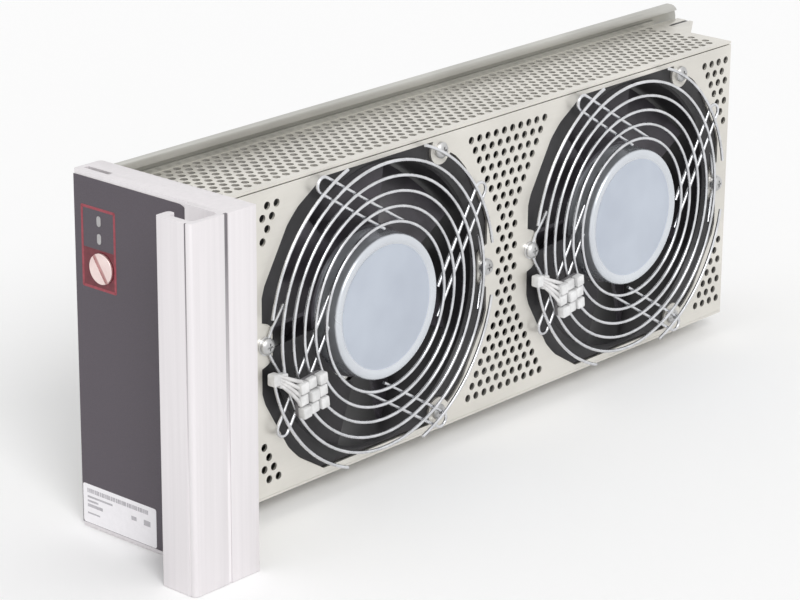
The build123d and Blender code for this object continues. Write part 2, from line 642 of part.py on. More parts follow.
def handle_screws():
    length = BEZEL_WALL + HANDLE_WALL + SEAT - HANDLE_SCREW_COVER
    return [
        screw_y(x, z, HANDLE_SCREW_RADIUS, SCREW_HEAD_RADIUS, SCREW_HEAD, BEZEL_INSIDE + SEAT, length)
        for x, z in handle_screw_points()]


def bulkhead_screws():
    return [
        screw_y(x, z, SCREW_RADIUS, SCREW_HEAD_RADIUS, SCREW_HEAD, BULKHEAD_REAR + SEAT, SCREW_LENGTH)
        for x, z in boss_points()]


def rivet_y(x, z, y0, y1):
    """Rivet along Y that clamps what lies between y0 and y1."""
    rivet = along_y(Pos(x, z) * Circle(RIVET_RADIUS), y0 - SEAT, y1 + SEAT)
    head = Pos(x, z) * RegularPolygon(RIVET_HEAD_RADIUS, RIVET_SIDES)
    rivet += along_y(head, y0 - SEAT / 2 - RIVET_HEAD, y0 - SEAT / 2)
    return rivet + along_y(head, y1 + SEAT / 2, y1 + SEAT / 2 + RIVET_HEAD)


def chassis_rivets():
    front = BULKHEAD_REAR - SHEET
    rivets = [rivet_y(x, z, front, BOX_FRONT + SEAT + SHEET) for x, z in side_rivets() + wall_rivets()]
    return rivets + [rivet_y(x, z, BOX_REAR - SHEET, BOX_REAR + SEAT + SHEET) for x, z in GUIDE_RIVETS]


def front_overlay():
    sheet = rect(
        BEZEL_LEFT + OVERLAY_EDGE, HANDLE_BASE_LEFT - OVERLAY_EDGE,
        BEZEL_BOTTOM + OVERLAY_MARGIN, BEZEL_TOP - OVERLAY_MARGIN)
    sheet = fillet(sheet.vertices().sort_by_distance((BEZEL_RIGHT, BEZEL_TOP, 0))[0], OVERLAY_ROUND)
    for z in LENS_HEIGHTS:
        sheet -= Pos(LENS_X, z) * lens_shape(SEAT)
    sheet -= Pos(LOCK_X, LOCK_Z) * Circle(LOCK_SHANK_RADIUS + RUN_GAP)
    return along_y(sheet, BEZEL_FRONT - SEAT - OVERLAY, BEZEL_FRONT - SEAT)


def status_lenses():
    front = BEZEL_FRONT - SEAT - OVERLAY - LENS_PROUD
    return [along_y(Pos(LENS_X, z) * lens_shape(0), front, BEZEL_INSIDE) for z in LENS_HEIGHTS]


def status_leds():
    chip = Rectangle(LED_SIZE, LED_SIZE)
    return [along_y(Pos(LENS_X, z) * chip, BEZEL_INSIDE + SEAT, BOARD_FRONT - SEAT) for z in LENS_HEIGHTS]


def led_board():
    half = BOARD_HEIGHT / 2
    board = rect(BOARD_LEFT, BOARD_LEFT + BOARD_WIDTH, BOARD_Z - half, BOARD_Z + half)
    return along_y(board, BOARD_FRONT, BOARD_FRONT + BOARD)


def lock_screw():
    back = BEZEL_FRONT - SEAT - OVERLAY - RUN_GAP
    head = along_y(Pos(LOCK_X, LOCK_Z) * Circle(LOCK_HEAD_RADIUS), back - LOCK_HEAD, back)
    rim = head.edges().filter_by(GeomType.CIRCLE).sort_by(Axis.Y)[0]
    head = fillet(rim, LOCK_HEAD_ROUND)
    slot = Rot(0, 0, LOCK_SLOT_ANGLE) * Rectangle(3 * LOCK_HEAD_RADIUS, LOCK_SLOT_WIDTH)
    slot = Pos(LOCK_X, LOCK_Z) * slot
    head -= along_y(slot, back - LOCK_HEAD, back - LOCK_HEAD + LOCK_SLOT_DEPTH)
    return head + along_y(Pos(LOCK_X, LOCK_Z) * Circle(LOCK_SHANK_RADIUS), back - SEAT, CAM_FRONT + CAM)


def lock_cam():
    """Crank disc on the lock's shank; its pin lifts the tongue."""
    disc = Pos(LOCK_X, LOCK_Z) * (Circle(CAM_RADIUS) - Circle(LOCK_SHANK_RADIUS + PRESS_GAP))
    cam = along_y(disc, CAM_FRONT, CAM_FRONT + CAM)
    return cam + along_y(Pos(PIN_X, PIN_Z) * Circle(CAM_PIN_RADIUS), CAM_FRONT, TONGUE_REAR + RUN_GAP)


def latch_tongue():
    """Flat slide: a wide end in the bezel's top slot, a neck on two rivets, and a crank slot."""
    top = BEZEL_TOP - TONGUE_RETRACT
    neck_top = PIN_Z + TONGUE_FOOT / 2
    right = TONGUE_LEFT + TONGUE_WIDTH
    tongue = rect(TONGUE_LEFT, right, TONGUE_SHOULDER_Z, top)
    tongue += rect(TONGUE_LEFT, TONGUE_LEFT + TONGUE_NECK, PIN_Z, TONGUE_SHOULDER_Z)
    tongue += rect(TONGUE_LEFT, right, PIN_Z - TONGUE_FOOT / 2, neck_top)
    reach = LOCK_X - LOCK_CRANK
    half = CAM_PIN_RADIUS + SLIDE_CLEAR
    tongue -= rect(reach - half, PIN_X + half, PIN_Z - half, PIN_Z + half)
    x = TONGUE_LEFT + TONGUE_NECK / 2
    half = TONGUE_RIVET_RADIUS + SLIDE_CLEAR
    for z in TONGUE_RIVET_HEIGHTS:
        tongue -= rect(x - half, x + half, z - LOCK_TRAVEL - half, z + half)
    return along_y(tongue, TONGUE_FRONT, TONGUE_REAR)


def tongue_rivets():
    x = TONGUE_LEFT + TONGUE_NECK / 2
    rear = TONGUE_REAR + RUN_GAP
    rivets = []
    for z in TONGUE_RIVET_HEIGHTS:
        rivet = along_y(Pos(x, z) * Circle(TONGUE_RIVET_RADIUS), BEZEL_INSIDE + SEAT, rear)
        rivet += along_y(Pos(x, z) * Circle(TONGUE_RIVET_HEAD_RADIUS), rear, rear + TONGUE_RIVET_HEAD)
        rivets.append(rivet)
    return rivets


def turned(points):
    """Solid of revolution about the fan's axis from (x, radius) points."""
    return revolve(Polygon(*points, align=None), axis=Axis.X)


def fan_housing():
    """Two cut flanges on a barrel, with the spider and bearing tube of the motor."""
    barrel = FAN_BORE_RADIUS + FAN_BARREL
    housing = turned([
        (FAN_BACK, FAN_BORE_RADIUS), (FAN_FACE - FAN_INLET_CHAMFER, FAN_BORE_RADIUS),
        (FAN_FACE, FAN_BORE_RADIUS + FAN_INLET_CHAMFER), (FAN_FACE, barrel), (FAN_BACK, barrel)])
    flange = fan_outline(0) - Circle(barrel - SEAT)
    holes = [Pos(y, z) * Circle(SCREW_RADIUS + SCREW_CLEAR) for y, z in lug_points()]
    corner_holes = [Pos(y, z) * Circle(SCREW_RADIUS + SCREW_CLEAR) for y, z in corner_points()]
    front = flange
    for y, z in corner_points():
        front += Pos(y, z) * Circle(CORNER_LUG_RADIUS)
    housing += along_x(front - holes - corner_holes, FAN_FACE - FAN_FLANGE, FAN_FACE)
    housing += along_x(flange - holes, FAN_BACK, FAN_BACK + FAN_FLANGE)
    housing += along_x(Circle(MOTOR_BASE_RADIUS), FAN_BACK, FAN_BACK + MOTOR_BASE)
    strut = rect(MOTOR_BASE_RADIUS - STRUT, barrel - SEAT, -STRUT_WIDTH / 2, STRUT_WIDTH / 2)
    for i in range(STRUT_COUNT):
        housing += along_x(Rot(0, 0, (i + 0.5) * 360 / STRUT_COUNT) * strut, FAN_BACK, FAN_BACK + STRUT)
    bore = BEARING_RADIUS + PRESS_GAP
    tube = Circle(bore + BEARING_TUBE) - Circle(bore)
    return housing + along_x(tube, FAN_BACK + SEAT, BEARING_FRONT)


def fan_bearings():
    ring = Circle(BEARING_RADIUS) - Circle(SHAFT_RADIUS + RUN_GAP)
    rear = FAN_BACK + MOTOR_BASE + SEAT
    return [along_x(ring, x, x + BEARING_WIDTH) for x in (rear, BEARING_FRONT - BEARING_WIDTH)]


def fan_stator():
    """Lamination stack with its winding slots, on the bearing tube."""
    bore = BEARING_RADIUS + BEARING_TUBE + 2 * PRESS_GAP
    stack = Circle(STATOR_RADIUS) - Circle(bore)
    half = STATOR_SLOT_WIDTH / 2
    slot = rect(bore + STATOR_YOKE, STATOR_RADIUS - STATOR_YOKE / 2, -half, half)
    slot += rect(STATOR_RADIUS - STATOR_YOKE, STATOR_RADIUS + STATOR_YOKE, -half / 4, half / 4)
    for i in range(STATOR_TEETH):
        stack -= Rot(0, 0, i * 360 / STATOR_TEETH) * slot
    return along_x(stack, STATOR_BACK, STATOR_BACK + STATOR_LENGTH)


def fan_windings():
    bore = BEARING_RADIUS + BEARING_TUBE + STATOR_YOKE
    coil = Circle(STATOR_RADIUS - STATOR_YOKE / 2) - Circle(bore)
    front = STATOR_BACK + STATOR_LENGTH + SEAT
    back = STATOR_BACK - SEAT - COIL_HEIGHT
    return [along_x(coil, x, x + COIL_HEIGHT) for x in (back, front)]


def rotor_cap():
    """Drawn steel motor cup with a raised rim round its front disc and a boss for the shaft."""
    disc = HUB_PROUD - HUB_RECESS
    inside = HUB_PROUD - HUB_FACE
    bore = SHAFT_RADIUS + PRESS_GAP
    profile = Polygon(
        (inside, 0), (disc, 0),
        (disc, HUB_RADIUS - HUB_RIM - HUB_RECESS), (HUB_PROUD, HUB_RADIUS - HUB_RIM),
        (HUB_PROUD, HUB_RADIUS), (HUB_BACK, HUB_RADIUS), (HUB_BACK, HUB_RADIUS - HUB_WALL),
        (inside, HUB_RADIUS - HUB_WALL), (inside, ROTOR_BOSS_RADIUS),
        (inside - ROTOR_BOSS, ROTOR_BOSS_RADIUS), (inside - ROTOR_BOSS, bore), (inside, bore), align=None)
    edge = profile.vertices().sort_by_distance((HUB_PROUD, HUB_RADIUS, 0))[0]
    return revolve(fillet(edge, HUB_ROUND), axis=Axis.X)


def rotor_core():
    outer = HUB_RADIUS - HUB_WALL - PRESS_GAP
    middle = STATOR_BACK + STATOR_LENGTH / 2
    return along_x(Circle(outer) - Circle(CORE_RADIUS), middle - CORE_LENGTH / 2, middle + CORE_LENGTH / 2)


def rotor_shaft():
    return along_x(Circle(SHAFT_RADIUS), FAN_BACK + MOTOR_BASE + SEAT, HUB_PROUD - HUB_FACE - SEAT)


def impeller():
    """Collar on the motor cup with twisted blades, trimmed to the bore."""
    inner = HUB_RADIUS + PRESS_GAP
    tip = FAN_BORE_RADIUS - BLADE_TIP_GAP
    root = HUB_RADIUS - BLADE_ROOT_SINK
    root_chord = (COLLAR_LENGTH - 2 * BLADE_COLLAR_EDGE) / math.sin(math.radians(BLADE_ANGLE_ROOT))
    ends = ((root, root_chord, BLADE_ANGLE_ROOT), (tip, BLADE_CHORD_TIP, BLADE_ANGLE_TIP))
    sections = []
    for radius, chord, angle in ends:
        section = Pos(BLADE_MIDDLE, 0) * Rot(0, 0, -angle) * Rectangle(BLADE, chord)
        sections.append(Plane.XY.offset(radius) * section)
    depth = 2 * FAN_DEPTH
    sleeve = along_x(Circle(tip) - Circle(inner), BLADE_MIDDLE - depth, BLADE_MIDDLE + depth)
    blade = loft(sections) & sleeve
    collar = Circle(inner + COLLAR) - Circle(inner)
    wheel = along_x(collar, BLADE_MIDDLE - COLLAR_LENGTH / 2, BLADE_MIDDLE + COLLAR_LENGTH / 2)
    for i in range(BLADE_COUNT):
        wheel += Rot(i * 360 / BLADE_COUNT, 0, 0) * blade
    return wheel


def bar(start, end, width):
    """Straight wire drawn flat between two points."""
    dy = end[0] - start[0]
    dz = end[1] - start[1]
    middle = Pos((start[0] + end[0]) / 2, (start[1] + end[1]) / 2)
    return middle * Rot(0, 0, math.degrees(math.atan2(dz, dy))) * Rectangle(math.hypot(dy, dz) + width, width)


def hairpin():
    """U shaped carrier wire: two legs that pass beside the hub and an outer loop."""
    half = WIRE / 2
    wire = Pos(HAIRPIN_END, -HAIRPIN_OFFSET) * (
        (Circle(HAIRPIN_HALF + half) - Circle(HAIRPIN_HALF - half))
        & rect(0, 2 * HAIRPIN_HALF, -2 * HAIRPIN_HALF, 2 * HAIRPIN_HALF))
    for offset in (HAIRPIN_OFFSET - HAIRPIN_HALF, HAIRPIN_OFFSET + HAIRPIN_HALF):
        inner = RING_FIRST - RING_HUB_ROOM / 2
        start = math.sqrt(max(inner ** 2 - offset ** 2, HAIRPIN_START ** 2))
        wire += rect(start, HAIRPIN_END, -offset - half, -offset + half)
    return Rot(0, 0, HAIRPIN_ANGLE) * wire


def fan_guard():
    """Welded wire finger guard: rings and side arcs on four hairpins, with two screw ears."""
    half = WIRE / 2
    carrier_front = GUARD_STANDOFF + WIRE
    ring_back = carrier_front - GUARD_WELD
    last = RING_FIRST + RING_PITCH * (RING_COUNT - 1)
    guard = Part()
    for i in range(HAIRPIN_COUNT):
        guard += along_x(Rot(0, 0, i * 360 / HAIRPIN_COUNT) * hairpin(), GUARD_STANDOFF, carrier_front)
    for i in range(RING_COUNT):
        radius = RING_FIRST + RING_PITCH * i
        guard += along_x(Circle(radius + half) - Circle(radius - half), ring_back, ring_back + WIRE)
    sweep = OUTER_ARC_END - OUTER_ARC_START
    for start in (OUTER_ARC_START, -OUTER_ARC_END, 180 + OUTER_ARC_START, 180 - OUTER_ARC_END):
        arc = SlotArc(CenterArc((0, 0), last + RING_PITCH, start, sweep), WIRE)
        guard += along_x(arc, ring_back, ring_back + WIRE)
    foot_y = last * math.cos(math.radians(EAR_ANGLE))
    foot_z = last * math.sin(math.radians(EAR_ANGLE))
    hole = Circle(SCREW_RADIUS + SCREW_CLEAR)
    for side in (-1, 1):
        screw = (side * FAN_LUG_REACH, 0)
        for end in ((side * foot_y, foot_z), (side * foot_y, -foot_z)):
            bend = [s + (e - s) * EAR_BEND for s, e in zip(screw, end)]
            low = bar(screw, bend, WIRE)
            high = bar(bend, end, WIRE)
            guard += along_x(low - Pos(*screw) * hole, SEAT, SEAT + EYELET)
            guard += along_x(low & high, SEAT, carrier_front)
            guard += along_x(high, GUARD_STANDOFF, carrier_front)
        guard += along_x(Pos(*screw) * (Circle(EYELET_RADIUS) - hole), SEAT, SEAT + EYELET)
    return guard


def lead_plug():
    """Nylon plug on the front of the guard, with open contact cells."""
    back = RING_FRONT + SEAT
    outline = RectangleRounded(PLUG_SIDE, PLUG_SIDE, PLUG_ROUND)
    plug = along_x(Pos(PLUG_Y, PLUG_Z) * outline, back, back + PLUG)
    pitch = PLUG_SIDE / PLUG_CELLS
    middle = (PLUG_CELLS - 1) / 2
    for i in range(PLUG_CELLS):
        for j in range(PLUG_CELLS):
            spot = Pos(PLUG_Y + (i - middle) * pitch, PLUG_Z + (j - middle) * pitch)
            cell = spot * Rectangle(PLUG_CELL, PLUG_CELL)
            plug -= along_x(cell, back + PLUG - PLUG_CELL_DEPTH, back + PLUG)
    return plug


def screw_x(y, z, seat_x):
    """Pan head screw along X with its head in front of seat_x."""
    screw = along_x(Pos(y, z) * Circle(SCREW_HEAD_RADIUS), seat_x, seat_x + SCREW_HEAD)
    return screw + along_x(Pos(y, z) * Circle(SCREW_RADIUS), seat_x - SCREW_LENGTH, seat_x)


def fan_screws():
    seat = SEAT + EYELET + SEAT
    return [screw_x(c + y, FAN_Z + z, seat) for c in FAN_CENTRES for y, z in lug_points()]


def corner_screws():
    return [screw_x(c + y, FAN_Z + z, SEAT) for c in FAN_CENTRES for y, z in corner_points()]


def contact_heights():
    middle = (CONTACT_COUNT - 1) / 2
    return [CONNECTOR_Z + (i - middle) * CONTACT_PITCH for i in range(CONTACT_COUNT)]


def rear_connector():
    """Blind mating connector: body through the rear plate, flange and an open shroud."""
    centre = Pos(CONNECTOR_X, CONNECTOR_Z)
    seat = BOX_REAR + SEAT
    shroud_back = seat + CONNECTOR_FLANGE
    body = along_y(centre * Rectangle(CONNECTOR_BODY_WIDTH, CONNECTOR_BODY_HEIGHT), CONNECTOR_BACK, seat)
    body += along_y(centre * Rectangle(CONNECTOR_FLANGE_WIDTH, CONNECTOR_FLANGE_HEIGHT), seat, shroud_back)
    inner = Rectangle(SHROUD_WIDTH - 2 * SHROUD_WALL, SHROUD_HEIGHT - 2 * SHROUD_WALL)
    shroud = RectangleRounded(SHROUD_WIDTH, SHROUD_HEIGHT, SHROUD_WALL) - inner
    body += along_y(centre * shroud, shroud_back, shroud_back + SHROUD_DEPTH)
    hole = Rectangle(CONTACT_SIDE + 2 * PRESS_GAP, CONTACT_SIDE + 2 * PRESS_GAP)
    for z in contact_heights():
        body -= along_y(Pos(CONNECTOR_X, z) * hole, CONNECTOR_BACK, shroud_back)
    return body


def connector_contacts():
    tip = BOX_REAR + SEAT + CONNECTOR_FLANGE + SHROUD_DEPTH - CONTACT_SHORT
    pin = Rectangle(CONTACT_SIDE, CONTACT_SIDE)
    return [along_y(Pos(CONNECTOR_X, z) * pin, CONNECTOR_BACK, tip) for z in contact_heights()]


def ribbon_lead():
    """Flat lead from the connector along the bottom plate and up to the indicator board."""
    half = RIBBON / 2
    back = CONNECTOR_BACK - SEAT - half
    low = SHEET + SEAT + half
    front = BOX_FRONT + RIBBON_FRONT_GAP
    top = CONNECTOR_Z + CONNECTOR_BODY_HEIGHT / 2
    points = [
        (back, top), (back, low), (front, low), (front, BOARD_Z), (BOARD_FRONT + BOARD + SEAT, BOARD_Z)]
    path = FilletPolyline(*points, radius=RIBBON_BEND)
    left = CONNECTOR_X - RIBBON_WIDTH / 2
    return along_x(trace(path, RIBBON), left, left + RIBBON_WIDTH)


def write_fan(number, y):
    """Write the nodes of one fan, built round the X axis and set at its place in the box."""
    spot = Pos(0, y, FAN_Z)
    pieces = {
        "housing": [fan_housing()],
        "bearings": fan_bearings(),
        "stator": [fan_stator()],
        "windings": fan_windings(),
        "rotor_cap": [rotor_cap()],
        "rotor_core": [rotor_core()],
        "shaft": [rotor_shaft()],
        "impeller": [impeller()],
        "guard": [fan_guard()],
        "lead_plug": [lead_plug()],
    }
    for name, solids in pieces.items():
        place(f"fan_{number}_{name}", *[spot * solid for solid in solids])


def main():
    os.makedirs("parts", exist_ok=True)
    place("fan_side_panel", fan_side_panel())
    place("top_cover", top_cover())
    place("bottom_plate", bottom_plate())
    place("rail_wall", rail_wall())
    place("rear_plate", rear_plate())
    place("guide_bracket", guide_bracket())
    place("front_bezel", front_bezel())
    place("front_bulkhead", front_bulkhead())
    place("pull_handle", pull_handle())
    place("handle_screws", *handle_screws())
    place("bulkhead_screws", *bulkhead_screws())
    place("chassis_rivets", *chassis_rivets())
    place("front_overlay", front_overlay())
    place("status_lenses", *status_lenses())
    place("status_leds", *status_leds())
    place("led_board", led_board())
    place("lock_screw", lock_screw())
    place("lock_cam", lock_cam())
    place("latch_tongue", latch_tongue())
    place("tongue_rivets", *tongue_rivets())
    place("fan_screws", *fan_screws())
    place("corner_screws", *corner_screws())
    place("rear_connector", rear_connector())
    place("connector_contacts", *connector_contacts())
    place("ribbon_lead", ribbon_lead())
    for number, y in enumerate(FAN_CENTRES, start=1):
        write_fan(number, y)


if __name__ == "__main__":
    main()
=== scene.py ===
import json
import math

import bmesh
import bpy
from mathutils import Matrix, Vector


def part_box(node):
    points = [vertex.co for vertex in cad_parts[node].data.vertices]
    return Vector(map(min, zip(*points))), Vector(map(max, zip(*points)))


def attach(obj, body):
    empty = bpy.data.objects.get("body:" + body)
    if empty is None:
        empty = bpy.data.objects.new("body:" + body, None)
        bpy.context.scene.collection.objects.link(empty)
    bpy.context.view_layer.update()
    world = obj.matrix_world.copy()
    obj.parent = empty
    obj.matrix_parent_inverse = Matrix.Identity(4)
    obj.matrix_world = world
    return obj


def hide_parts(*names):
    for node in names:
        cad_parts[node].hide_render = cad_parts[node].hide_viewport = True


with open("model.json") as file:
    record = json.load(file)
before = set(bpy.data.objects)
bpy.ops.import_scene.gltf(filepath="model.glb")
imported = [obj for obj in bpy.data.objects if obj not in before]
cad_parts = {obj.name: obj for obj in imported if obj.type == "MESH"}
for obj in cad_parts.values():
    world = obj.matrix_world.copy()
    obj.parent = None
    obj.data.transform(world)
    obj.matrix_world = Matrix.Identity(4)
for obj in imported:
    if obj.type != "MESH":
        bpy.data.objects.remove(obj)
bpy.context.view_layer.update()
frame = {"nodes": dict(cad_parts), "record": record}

MM = 0.001

# Sheet box and its punched pattern, in millimetres
BOX_HALF_HEIGHT = 79.6
SHEET = 1.2
SEAM = 0.45
LIP = 4.5
LIP_END_GAP = 12.0
HOLE_DIAMETER = 4.1
HOLE_SIDES = 16
HOLE_PITCH = 6.5
ROW_PITCH = 5.81
PANEL_ROWS = 25
WAIST_TOP_COUNT = 10
WAIST_COUNT = 2
WAIST_SHIFT = -0.6
CORNER_COUNT = 4
CORNER_INSET = 4.6
HOLE_EDGE = 2.5
FRONT_COUNT = 2
FRONT_REACH = 82.0
TOP_ROWS = 10
TOP_MARGIN = 6.4
TOP_ROW_PITCH = 4.9
TOP_END_MARGIN = 6.0
COVER_UPTURN = 2.4

# Fan openings
FAN_RADIUS = 86.5
OPENING = ((0.0, 75.5), (40.0, 75.5), (62.5, 61.56), (83.0, 27.0), (83.0, 0.0))
TAB_REACH = 75.8
TAB_HALF_HEIGHT = 11.0
TAB_ROUND = 6.0
CORNER_TAB = (46.0, 70.0)
CORNER_TAB_RADIUS = 7.5
OPENING_STEPS = 720

# Wire guards
WIRE_RADIUS = 0.85
WIRE_STEP = 1.6
RING_DEPTH = 1.0
RING_FIRST = 43.5
RING_PITCH = 7.75
RING_COUNT = 5
RING_SEGMENTS = 96
OUTER_ARC = (10.0, 70.0)
HAIRPIN_ANGLE = 148.0
HAIRPIN_OFFSET = 38.4
HAIRPIN_HALF = 4.1
HAIRPIN_END = 75.6
HAIRPIN_INNER = 40.5
HAIRPIN_START = 8.0
HAIRPIN_COUNT = 4
EAR_ANGLE = 15.5
EAR_REACH = 81.0
EAR_BEND = 0.4
EAR_NEAR = 0.2
EYELET_RADIUS = 4.6
EYELET_BORE = 2.2
EYELET = 1.2

# Motor caps
CAP_RADIUS = 37.5
CAP_DISC_RADIUS = 32.2
CAP_CREST = 34.8
CAP_RECESS = 0.9
CAP_GROOVE = 0.12
CAP_GROOVE_START = 1.2
CAP_GROOVE_END = 0.4
CAP_FLOOR = 3.0
CAP_ROUND = 2.0
CAP_LENGTH = 46.0
CAP_WALL = 1.8
CAP_STEPS = 128

# Lead plugs on the guards, with their leads and clips. SILO_START is a share of the base, and a clip block is
# its left, right, bottom and top from the fan's centre and how far it stands ahead of the guard
PLUG_SIDE = 19.6
PLUG_FOOT = 18.0
PLUG_TURN = 7.0
PLUG_BASE = 2.6
PLUG_ROUND = 0.6
PLUG_CELLS = 3
SILO_SIDE = 5.6
SILO_ROUND = 0.7
SILO_START = 0.9
SILO_HEIGHTS = (4.4, 3.2, 4.0, 3.0, 4.4, 3.5, 4.2, 3.1, 4.4)
LEAD_RADIUS = 1.0
LEAD_COUNT = 4
LEAD_STEPS = 6
LEAD_STARTS = (-20.0, 4.2)
LEAD_ENDS = (-15.6, 1.3)
LEAD_RUN = ((3.2, -66.0), (4.0, -69.6), (2.4, -73.0), (-1.0, -76.5))
CLIP_GRIP = 3.6
CLIP_ROUND = 0.9
CLIP_BLOCKS = ((-82.6, -77.8, -19.4, -13.2, 1.4), (-77.0, -71.6, -21.8, -14.8, 0.5))

# Painted shade: black plates in the fans' mouths, between the guards and the blades
SHADE_PLATE = 0.8
SHADE_PLATE_INSET = 3.2
SHADE_PLATE_RADII = (40.5, 78.5)
SHADE_PLATE_ARC = (184.0, 250.0)

# Screw heads. HEAD_STEPS are shares of the head's height and radius
HEAD_RADIUS = 4.2
HEAD_HEIGHT = 2.4
HEAD_SEGMENTS = 24
HEAD_STEPS = ((0.0, 1.0), (0.45, 1.0), (0.8, 0.82), (1.0, 0.55))
SHANK_RADIUS = 1.9
SHANK_LENGTH = 10.0
SHANK_SEGMENTS = 12
RECESS_SIZE = 4.4
RECESS_WIDTH = 1.0
RECESS_DEPTH = 0.9
RECESS_REACH = 0.9

# Front prints, out from the side panel and up from the box
PRINT = 0.06
FRAME_LEFT = -56.5
FRAME_RIGHT = -33.3
FRAME_LOW = 113.5
FRAME_HIGH = 154.0
FRAME_LINE = 1.35
FRAME_ROUND = 1.0
PATCH_HIGH = 133.4
PATCH_HOLE = 5.2
LABEL_LEFT = -60.5
LABEL_RIGHT = -9.9
LABEL_LOW = -8.2
LABEL_HIGH = 12.0
LABEL_ROUND = 1.2
LABEL_BARS = [(-57.5 + i * 1.25, -56.7 + i * 1.25 + i % 3 * 0.15, 7.6, 9.8) for i in range(34)]
LABEL_BARS += [(-57.5, -40.0, 5.0, 6.0), (-57.5, -50.0, 2.8, 3.8), (-57.5, -47.0, 0.2, 1.8)]
LABEL_BARS += [(-27.0, -23.5, 2.0, 4.0), (-18.5, -14.0, 1.6, 4.4), (-57.5, -49.0, -3.4, -2.6)]

# Painted shade: dark strips laid in the handle's two seams and the guide's slot, the seams' strip paling
# towards the foot
SEAM_WIDTH = 2.2
SEAM_SUNK = 0.5
SEAM_DEPTH = 1.45
SEAM_PALE = 55.0
SEAM_DARK = 165.0
GROOVE_INSET = 3.4
GROOVE_WIDTH = 1.05
GROOVE_SUNK = 0.3
GROOVE_DEPTH = 1.05
SEAM_END_GAP = 0.1
GUIDE_SLOT_INSET = 7.2
GUIDE_SLOT_WIDTH = 2.7
GUIDE_SLOT_LENGTH = 17.2
SLOT_SHADE_BOTTOM = 1.0
SLOT_SHADE_TOP = 0.3
SLOT_SHADE_END = 0.5

# Broken edges, and the lock's slot, whose floor carries painted shade
EDGE_ROUND = 0.35
SHEET_ROUND = 0.25
LOCK_ROUND = 0.2
LOCK_SLOT_REACH = 7.2
LOCK_SLOT_START = 0.12
LOCK_SLOT_END = 1.0

# Camera fitted to the photograph
CAMERA_PLACE = (0.9878, -1.15485, 0.6031)
CAMERA_AZIMUTH = 41.63
CAMERA_ELEVATION = 19.29
CAMERA_ROLL = 0.366
CAMERA_LENS = 140.1

# Light and floor, in metres and degrees
ROOM_STRENGTH = 0.74
WINDOW_STRENGTH = 1.35
WINDOW_SPREAD = 25
WINDOW_AIM = (-0.75, 0.42, -0.62)
FLOOR_TONE = 0.98
FLOOR_HALF = 6.0
FLOOR_GAP = 0.0002

panel_low, panel_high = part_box("fan_side_panel")
cover_low, cover_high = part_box("top_cover")
overlay_low, overlay_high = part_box("front_overlay")
bezel_low, bezel_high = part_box("front_bezel")
FACE_X = panel_high.x
BASE_Z = bezel_low.z


def middle(node):
    """Centre of a CAD node's box."""
    low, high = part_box(node)
    return (low + high) / 2


FANS = {number: middle(f"fan_{number}_rotor_cap") for number in (1, 2)}
WAIST = (FANS[1] + FANS[2]) / 2
LOCK = middle("lock_screw")
BOX_BASE = WAIST.z - BOX_HALF_HEIGHT * MM


def linear(red, green, blue):
    """Colour as it shows on screen, 0 to 255, turned into the shader's own scale."""
    scaled = [value / 255 for value in (red, green, blue)]
    return [v / 12.92 if v <= 0.04045 else ((v + 0.055) / 1.055) ** 2.4 for v in scaled]


# Finishes

def finish(name, colour, metallic, roughness):
    """Plain material to build a finish on, and its shader."""
    material = bpy.data.materials.new(name)
    material.use_nodes = True
    shader = material.node_tree.nodes["Principled BSDF"]
    shader.inputs["Base Color"].default_value = (*colour, 1)
    shader.inputs["Metallic"].default_value = metallic
    shader.inputs["Roughness"].default_value = roughness
    return material, shader


def grain(material, scale, stretch=(1, 1, 1), detail=4.0, sharpness=0.55):
    """Noise on the piece's own coordinates; stretch below 1 draws it out along that axis."""
    nodes, links = material.node_tree.nodes, material.node_tree.links
    coordinates = nodes.new("ShaderNodeTexCoord")
    mapping = nodes.new("ShaderNodeMapping")
    mapping.inputs["Scale"].default_value = stretch
    noise = nodes.new("ShaderNodeTexNoise")
    noise.inputs["Scale"].default_value = scale
    noise.inputs["Detail"].default_value = detail
    noise.inputs["Roughness"].default_value = sharpness
    links.new(coordinates.outputs["Object"], mapping.inputs["Vector"])
    links.new(mapping.outputs["Vector"], noise.inputs["Vector"])
    return noise.outputs["Fac"]


def spread(material, source, low, high, target, start=0.3, end=0.7):
    """Drives a single value socket between low and high with a pattern."""
    nodes, links = material.node_tree.nodes, material.node_tree.links
    ranged = nodes.new("ShaderNodeMapRange")
    ranged.inputs["From Min"].default_value = start
    ranged.inputs["From Max"].default_value = end
    ranged.inputs["To Min"].default_value = low
    ranged.inputs["To Max"].default_value = high
    links.new(source, ranged.inputs["Value"])
    links.new(ranged.outputs["Result"], target)


def tint(material, source, dark, light, target, start=0.35, end=0.65):
    """Drives a colour socket between two colours with a pattern."""
    nodes, links = material.node_tree.nodes, material.node_tree.links
    ramp = nodes.new("ShaderNodeValToRGB")
    ramp.color_ramp.elements[0].position = start
    ramp.color_ramp.elements[1].position = end
    ramp.color_ramp.elements[0].color = (*dark, 1)
    ramp.color_ramp.elements[1].color = (*light, 1)
    links.new(source, ramp.inputs["Fac"])
    links.new(ramp.outputs["Color"], target)


def relief(material, source, height, shader):
    """Raises a pattern slightly from the surface."""
    nodes, links = material.node_tree.nodes, material.node_tree.links
    bump = nodes.new("ShaderNodeBump")
    bump.inputs["Strength"].default_value = 0.5
    bump.inputs["Distance"].default_value = height
    links.new(source, bump.inputs["Height"])
    links.new(bump.outputs["Normal"], shader.inputs["Normal"])


def zinc_plate(name, dark, light):
    """Plated sheet: soft clouded tone, fine rolling lines along the tray and uneven gloss."""
    material, shader = finish(name, light, 0.75, 0.38)
    clouds = grain(material, 26, (1, 0.5, 1), 5.0)
    tint(material, clouds, dark, light, shader.inputs["Base Color"])
    rolling = grain(material, 900, (1, 0.03, 1), 2.0)
    spread(material, rolling, 0.30, 0.46, shader.inputs["Roughness"])
    relief(material, rolling, 0.00002, shader)
    return material


